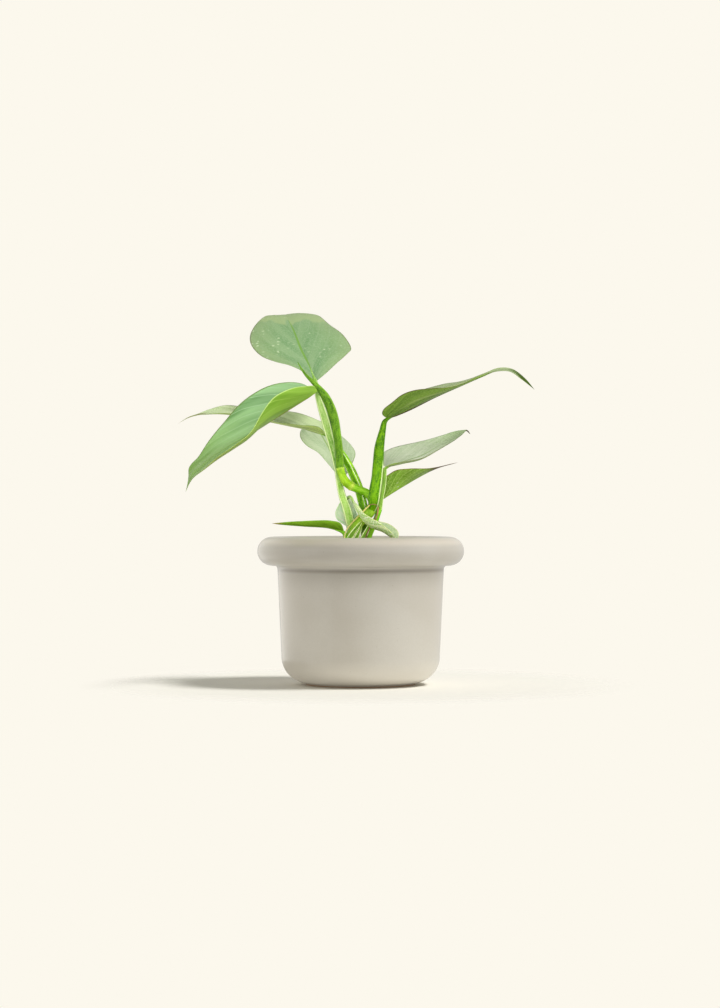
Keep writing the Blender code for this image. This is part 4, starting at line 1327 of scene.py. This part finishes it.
# %% Grow the thick right petiole
right_finish = stalk_finish(
    "petiole_right_skin",
    {0.0: (74, 126, 1), 0.08: (69, 125, 0), 0.45: (74, 128, 0), 0.78: (59, 106, 1),
     0.86: (49, 88, 1), 1.0: (59, 75, 2)},
    (115, 165, 7), (43, 92, 0), (226, 240, 172), seed=6.0, wing_share=0.75, streak=0.85,
    speckle=0.85, wing_end=0.5, wing_from=0.68)
stalk("right_petiole", "petiole_right", "stem_green",
      [(8, -0.5, 131, 3), (9.5, -3, 135.5, 3.6), (10, -4, 139.5, 4.1), (10.5, -4.5, 144.5, 4.3),
       (12, -4.5, 154, 4.1), (13, -4, 164.5, 4.0), (14, -3, 178, 3.6), (16.3, -2, 190, 2.5),
       (18.2, -0.7, 197.4, 1.8), (21.5, 0.3, 199.9, 0.9), (28, 1.2, 202.6, 0.3)],
      right_finish, facing=(0.69, 0.72, 0.0), channel_width=0.115, channel_depth=0.16,
      wing_height=0.1, seed=6.0)

# %% Grow the side stem and its petioles
side_finish = stalk_finish(
    "side_stem_skin", {0.0: (135, 192, 34), 1.0: (117, 186, 16)},
    (168, 226, 68), (79, 144, 5), (213, 235, 146), seed=7.0)
stalk("thin_side_stem", "side_stem", "stem_green",
      [(5, 3, 93, 2.3), (5, 3, 104.5, 2.3), (6.5, 3, 112, 2.3), (11, 3, 122.5, 2.2),
       (14.4, 3.8, 131.8, 1.9)], side_finish, seed=7.0)
middle_finish = stalk_finish(
    "petiole_middle_skin", {0.0: (119, 170, 29), 0.6: (133, 180, 59), 1.0: (119, 149, 59)},
    (186, 214, 116), (90, 139, 29), (220, 230, 167), seed=8.0, wing_share=0.85, streak=0.5,
    speckle=0.3)
stalk("right_middle_petiole", "petiole_right_middle", "petiole_green",
      [(14.4, 3.8, 131.4, 1.8), (15.5, 3, 139, 1.6), (17.5, 3, 150.5, 1.6), (18, 3, 159.5, 1.6),
       (18.5, 3.5, 162, 1.3), (23, 5.6, 164.6, 0.8), (29, 8.4, 166.4, 0.4)],
      middle_finish, channel_depth=0.14, wing_height=0.1, seed=8.0)
stalk("right_low_petiole", "petiole_right_low", "petiole_green",
      [(12.4, 3.0, 126.3, 1.5), (12.5, 7.5, 130.5, 1.4), (13, 12.5, 136, 1.3),
       (16, 13.6, 139, 0.9), (20, 14.4, 141.8, 0.5)], middle_finish, seed=9.0)

# %% [markdown]
# ## Sheaths at the foot
#
# Where the stalks leave the soil, old leaf bases still clasp the stem. They are green, grooved and
# pointed, with pale edges. The deep channel of the stalk tree makes the groove, and the wings are
# the pale edges. They lie against the stem, so they have no solid of their own.

# %% Grow the sheaths
SHEATHS = {
    "left_sheath": [(-11.5, -8.5, 93, 2.3), (-11, -8.5, 103, 2.3), (-7.5, -8, 111, 2.0),
                    (-2.5, -7.5, 118, 1.4), (2.5, -6.5, 124.5, 0.4)],
    "middle_sheath": [(-6.5, -9, 93, 2.1), (-6, -9, 103, 2.1), (-3.5, -8.5, 109.5, 1.8),
                      (-0.5, -8, 116, 1.0), (1, -7.5, 120.5, 0.3)],
    "right_sheath": [(-1, -7, 93, 2.2), (-0.5, -7, 103, 2.2), (2, -6.5, 110, 2.0),
                     (5.5, -5.5, 117, 1.4), (8, -4.5, 124, 0.4)]}
sheath_finish = stalk_finish(
    "sheath_skin", {0.0: (98, 154, 14), 0.4: (106, 165, 14), 0.8: (126, 178, 32),
                    1.0: (192, 174, 104)},
    (184, 222, 84), (50, 98, 4), (242, 248, 196), seed=30.0, wing_share=1.0, streak=0.65,
    speckle=0.5, hollow_share=0.5)
for number, (name, route) in enumerate(SHEATHS.items()):
    stalk(name, None, "stem_green", route, sheath_finish, sides=28, channel_depth=0.35,
          wing_height=0.15, seed=30.0 + number)

# %% Grow the short petioles of the small leaves
SHORT_ROUTES = {
    "low_left_petiole": ("petiole_low_left", "stem_green", side_finish,
                         [(-11, -9, 93, 1.8), (-11, -9, 105, 1.8), (-12, -8.3, 113.1, 1.6),
                          (-14.5, -9, 115, 1.2), (-19, -10.8, 116.4, 0.6)]),
    "small_petiole": ("petiole_small", "petiole_green", tall_finish,
                      [(-9, 15.5, 93, 1.3), (-9, 15.5, 104.5, 1.3), (-8.8, 12.6, 117.1, 1),
                       (-9.4, 12.1, 121, 0.5)]),
    "low_front_petiole": ("petiole_low_front", "petiole_green", tall_finish,
                          [(-8, 11, 93, 1.2), (-8, 11, 104.5, 1.2), (-9, 10.5, 113, 1.2),
                           (-10.5, 9, 123.5, 1.2), (-12, 7.6, 132.5, 1.2), (-11, 7.6, 138, 1.2),
                           (-8.5, 3, 140.8, 1.2), (-6.6, -2.1, 139.4, 1.1),
                           (-5, -5, 136, 0.7), (-3.6, -8, 132.4, 0.4)])}
for name, (node, slot, finish, route) in SHORT_ROUTES.items():
    stalk(name, node, slot, route, finish, sides=24, seed=float(len(name)))

# %% [markdown]
# ## Aerial roots
#
# Two thin roots leave the main node and run down to the soil. One is dry and straw-coloured, the
# other dark brown and knobbly. The same tree grows them, with more lumps and no channel. Two short
# brown scraps of dried sheath cling to the node and to the foot.

# %% Grow the roots
tan_finish = stalk_finish("root_tan_skin", {0.0: (196, 180, 92), 1.0: (200, 200, 130)},
                          (236, 228, 166), (150, 130, 64), (236, 222, 160), seed=20.0,
                          roughness=0.65)
brown_finish = stalk_finish("root_brown_skin",
                            {0.0: (170, 132, 88), 0.4: (124, 92, 60), 1.0: (110, 82, 56)},
                            (186, 152, 108), (66, 42, 26), (186, 152, 108), seed=21.0,
                            roughness=0.7)
stalk("tan_root", "root_tan", "root_tan",
      [(6.6, -6.2, 134.5, 0.5), (1.5, -7.5, 129.5, 0.5), (-2.5, -8, 125.5, 0.5),
       (-8, -9, 119.5, 0.5), (-10.5, -11.5, 116, 0.5), (-12, -13, 111.5, 0.5),
       (-12.5, -14, 104, 0.5), (-12.5, -14, 94, 0.5)],
      tan_finish, sides=14, lump_height=0.0003, lump_scale=500.0, seed=20.0)
stalk("brown_root", "root_brown", "root_brown",
      [(13, -1, 133, 0.6), (12.5, -2, 128, 0.6), (10, -2, 122.5, 0.6), (6, -2, 118, 0.6),
       (3.5, -2, 114.5, 0.6), (1.5, -2, 110, 0.6), (1, -2, 104, 0.6), (1, -2, 94, 0.6)],
      brown_finish, sides=14, lump_height=0.0005, lump_scale=500.0, seed=21.0)
SCRAPS = {"node_scrap": [(6.3, -5.6, 134.4, 0.2), (8.5, -7.9, 135.2, 0.3), (11, -8.1, 135.0, 0.3),
                         (13.4, -5.6, 133.2, 0.2)],
          "foot_scrap": [(8.2, -9.6, 121, 0.3), (6.8, -10.6, 117.5, 0.5), (4.4, -11.2, 112.5, 0.5),
                         (3, -11, 104, 0.3)]}
for number, (name, route) in enumerate(SCRAPS.items()):
    stalk(name, None, "root_brown", route, brown_finish, sides=12, lump_height=0.0004,
          lump_scale=600.0, seed=24.0 + number)

# %% [markdown]
# ## The potting mix
#
# The mix ends just below the rim. Its top is a lumpy disc, and the loose look comes from what lies
# on it: bark chips, fine crumbs and a few white grains. A tree scatters them over the disc with a
# fixed seed, so the same soil comes out each time.

# %% The soil's finish
soil, soil_tree, soil_shader = new_finish("soil")
spot = on_object(soil_tree)
damp = add_patches(spot, 60.0, detail=4.0)
crumb = add_patches(spot, 700.0, detail=4.0)
earth = mix(crumb * 0.5, mix(damp, (58, 42, 30), (86, 64, 46)), (112, 88, 64))
fill(soil_tree, soil_shader,
     {"Base Color": earth, "Roughness": 0.95, "Normal": relief(crumb, 0.7, 0.0006)})
print("soil nodes:", len(soil_tree.nodes))

# %% The body of the mix
MIX_LEVEL = 98.5
MIX_CROWN = 2.0
MIX_LUMP = 0.7
MIX_STEPS = 144
MIX_RINGS = 52
MIX_BOTTOM = 8.0
MIX_WAIST = BODY_LOW - WALL - 0.3
BRIM = ROLL_CENTRE[0] - ROLL - 0.1
MIX_WALL = [(BRIM, 92.0), (MIX_WAIST, 60.0), (MIX_WAIST, 26.0), (CORNER_CENTRE[0], MIX_BOTTOM),
            (0.0, MIX_BOTTOM)]


def mix_height(x, y):
    """The lumpy, slightly domed top, with a finer unevenness on it."""
    dome = MIX_CROWN * (1.0 - (x * x + y * y) / BODY_TOP ** 2)
    lumps = (np.sin(0.31 * x + 1.3) * np.cos(0.27 * y) + 0.6 * np.sin(0.55 * y + 0.4 * x)
             + 0.4 * np.cos(0.83 * x - 0.5 * y))
    fine = np.sin(1.7 * x + 0.9 * y) * np.cos(1.3 * y - 0.6 * x)
    return MIX_LEVEL + dome + MIX_LUMP * lumps + 0.25 * fine


def mix_mesh():
    """A closed body: top disc, wall and bottom, turned ring by ring."""
    rings = [(BRIM * k / MIX_RINGS, None) for k in range(MIX_RINGS + 1)] + MIX_WALL
    shape = bmesh.new()
    columns = []
    for step in range(MIX_STEPS):
        angle = 2.0 * math.pi * step / MIX_STEPS
        column = []
        for radius, level in rings:
            x, y = radius * math.cos(angle), radius * math.sin(angle)
            z = mix_height(x, y) if level is None else level
            column.append(shape.verts.new((x * MM, y * MM, z * MM)))
        columns.append(column)
    for step, column in enumerate(columns):
        beside = columns[(step + 1) % MIX_STEPS]
        for k in range(len(rings) - 1):
            shape.faces.new((column[k + 1], beside[k + 1], beside[k], column[k]))
    bmesh.ops.remove_doubles(shape, verts=shape.verts, dist=0.000005)
    bmesh.ops.recalc_face_normals(shape, faces=shape.faces)
    mesh = bpy.data.meshes.new("soil_body")
    shape.to_mesh(mesh)
    shape.free()
    mesh.shade_smooth()
    mesh.materials.append(soil)
    return mesh


keep(link_object("soil_body", mix_mesh()), "potting_mix", "potting_mix")

# %% The tree that scatters chips
scatter, given = new_group(
    "GeometryNodeTree", "scatter_chips",
    {"Ground": "Geometry", "Density": 60000.0, "Size": 0.001, "Smallest": 0.4, "Flatness": 0.5,
     "Detail": 2, "Seed": 1, "Finish": "Material"},
    {"Mesh": "Geometry"})
dots = put(scatter, "GeometryNodeDistributePointsOnFaces",
           {"Mesh": given["Ground"], "Density": given["Density"], "Seed": given["Seed"]})
grit = put(scatter, "GeometryNodeMeshIcoSphere",
           {"Radius": given["Size"], "Subdivisions": given["Detail"]})
crag = put(scatter, "ShaderNodeTexNoise", {"Scale": 900.0, "Detail": 1.0})["Fac"]
push = vector("SCALE", put(scatter, "GeometryNodeInputNormal"),
              (crag - 0.5) * (given["Size"] * 1.6))
rough = put(scatter, "GeometryNodeSetPosition", {"Geometry": grit, "Offset": push})
squeezed = put(scatter, "GeometryNodeTransform",
               {"Geometry": rough, "Scale": combine(1.0, 0.7, given["Flatness"])})
spin = put(scatter, "FunctionNodeRandomValue",
           {0: (-0.6, -0.6, 0.0), 1: (0.6, 0.6, 6.28), "Seed": given["Seed"]},
           data_type="FLOAT_VECTOR")
bulk = put(scatter, "FunctionNodeRandomValue",
           {2: given["Smallest"], 3: 1.0, "Seed": given["Seed"]}, data_type="FLOAT")
end_tree(put(scatter, "GeometryNodeInstanceOnPoints",
             {"Points": dots["Points"], "Instance": squeezed, "Rotation": spin, "Scale": bulk[1]}),
         given["Finish"])


# %% Strew bark, crumbs and white grains
def flat_finish(name, first, second, scale, roughness):
    """A matt finish that drifts between two colours."""
    made, tree, shader = new_finish(name)
    drift = add_patches(on_object(tree), scale)
    fill(tree, shader, {"Base Color": mix(drift, first, second), "Roughness": roughness,
                        "Normal": relief(drift, 0.4, 0.0002)})
    return made


STREWN_REACH = BRIM - 2.5
STREWN_SIDES = 48
STREWN_CUTS = 5


def soil_patch():
    """The top of the mix, a little short of the brim, for things to lie on."""
    shape = bmesh.new()
    bmesh.ops.create_circle(shape, cap_ends=True, segments=STREWN_SIDES, radius=STREWN_REACH * MM)
    bmesh.ops.triangulate(shape, faces=shape.faces)
    bmesh.ops.subdivide_edges(shape, edges=shape.edges, cuts=STREWN_CUTS, use_grid_fill=True)
    for vert in shape.verts:
        vert.co.z = mix_height(vert.co.x / MM, vert.co.y / MM) * MM
    mesh = bpy.data.meshes.new("soil_patch")
    shape.to_mesh(mesh)
    shape.free()
    return link_object("soil_patch", mesh)


STREWN = {
    "bark_chips": (flat_finish("bark", (96, 66, 44), (134, 98, 66), 120.0, 0.9),
                   {"Density": 26000.0, "Size": 0.0026, "Flatness": 0.35, "Seed": 4}),
    "soil_crumbs": (flat_finish("crumbs", (52, 38, 28), (92, 70, 52), 200.0, 0.95),
                    {"Density": 260000.0, "Size": 0.0011, "Detail": 1, "Seed": 5}),
    "white_grains": (flat_finish("white_grains", (226, 222, 210), (240, 238, 230), 300.0, 0.9),
                     {"Density": 9000.0, "Size": 0.0013, "Flatness": 0.8, "Seed": 6})}
for name, (finish, values) in STREWN.items():
    keep(grow(name, soil_patch(), scatter, {**values, "Finish": finish}), "potting_mix")
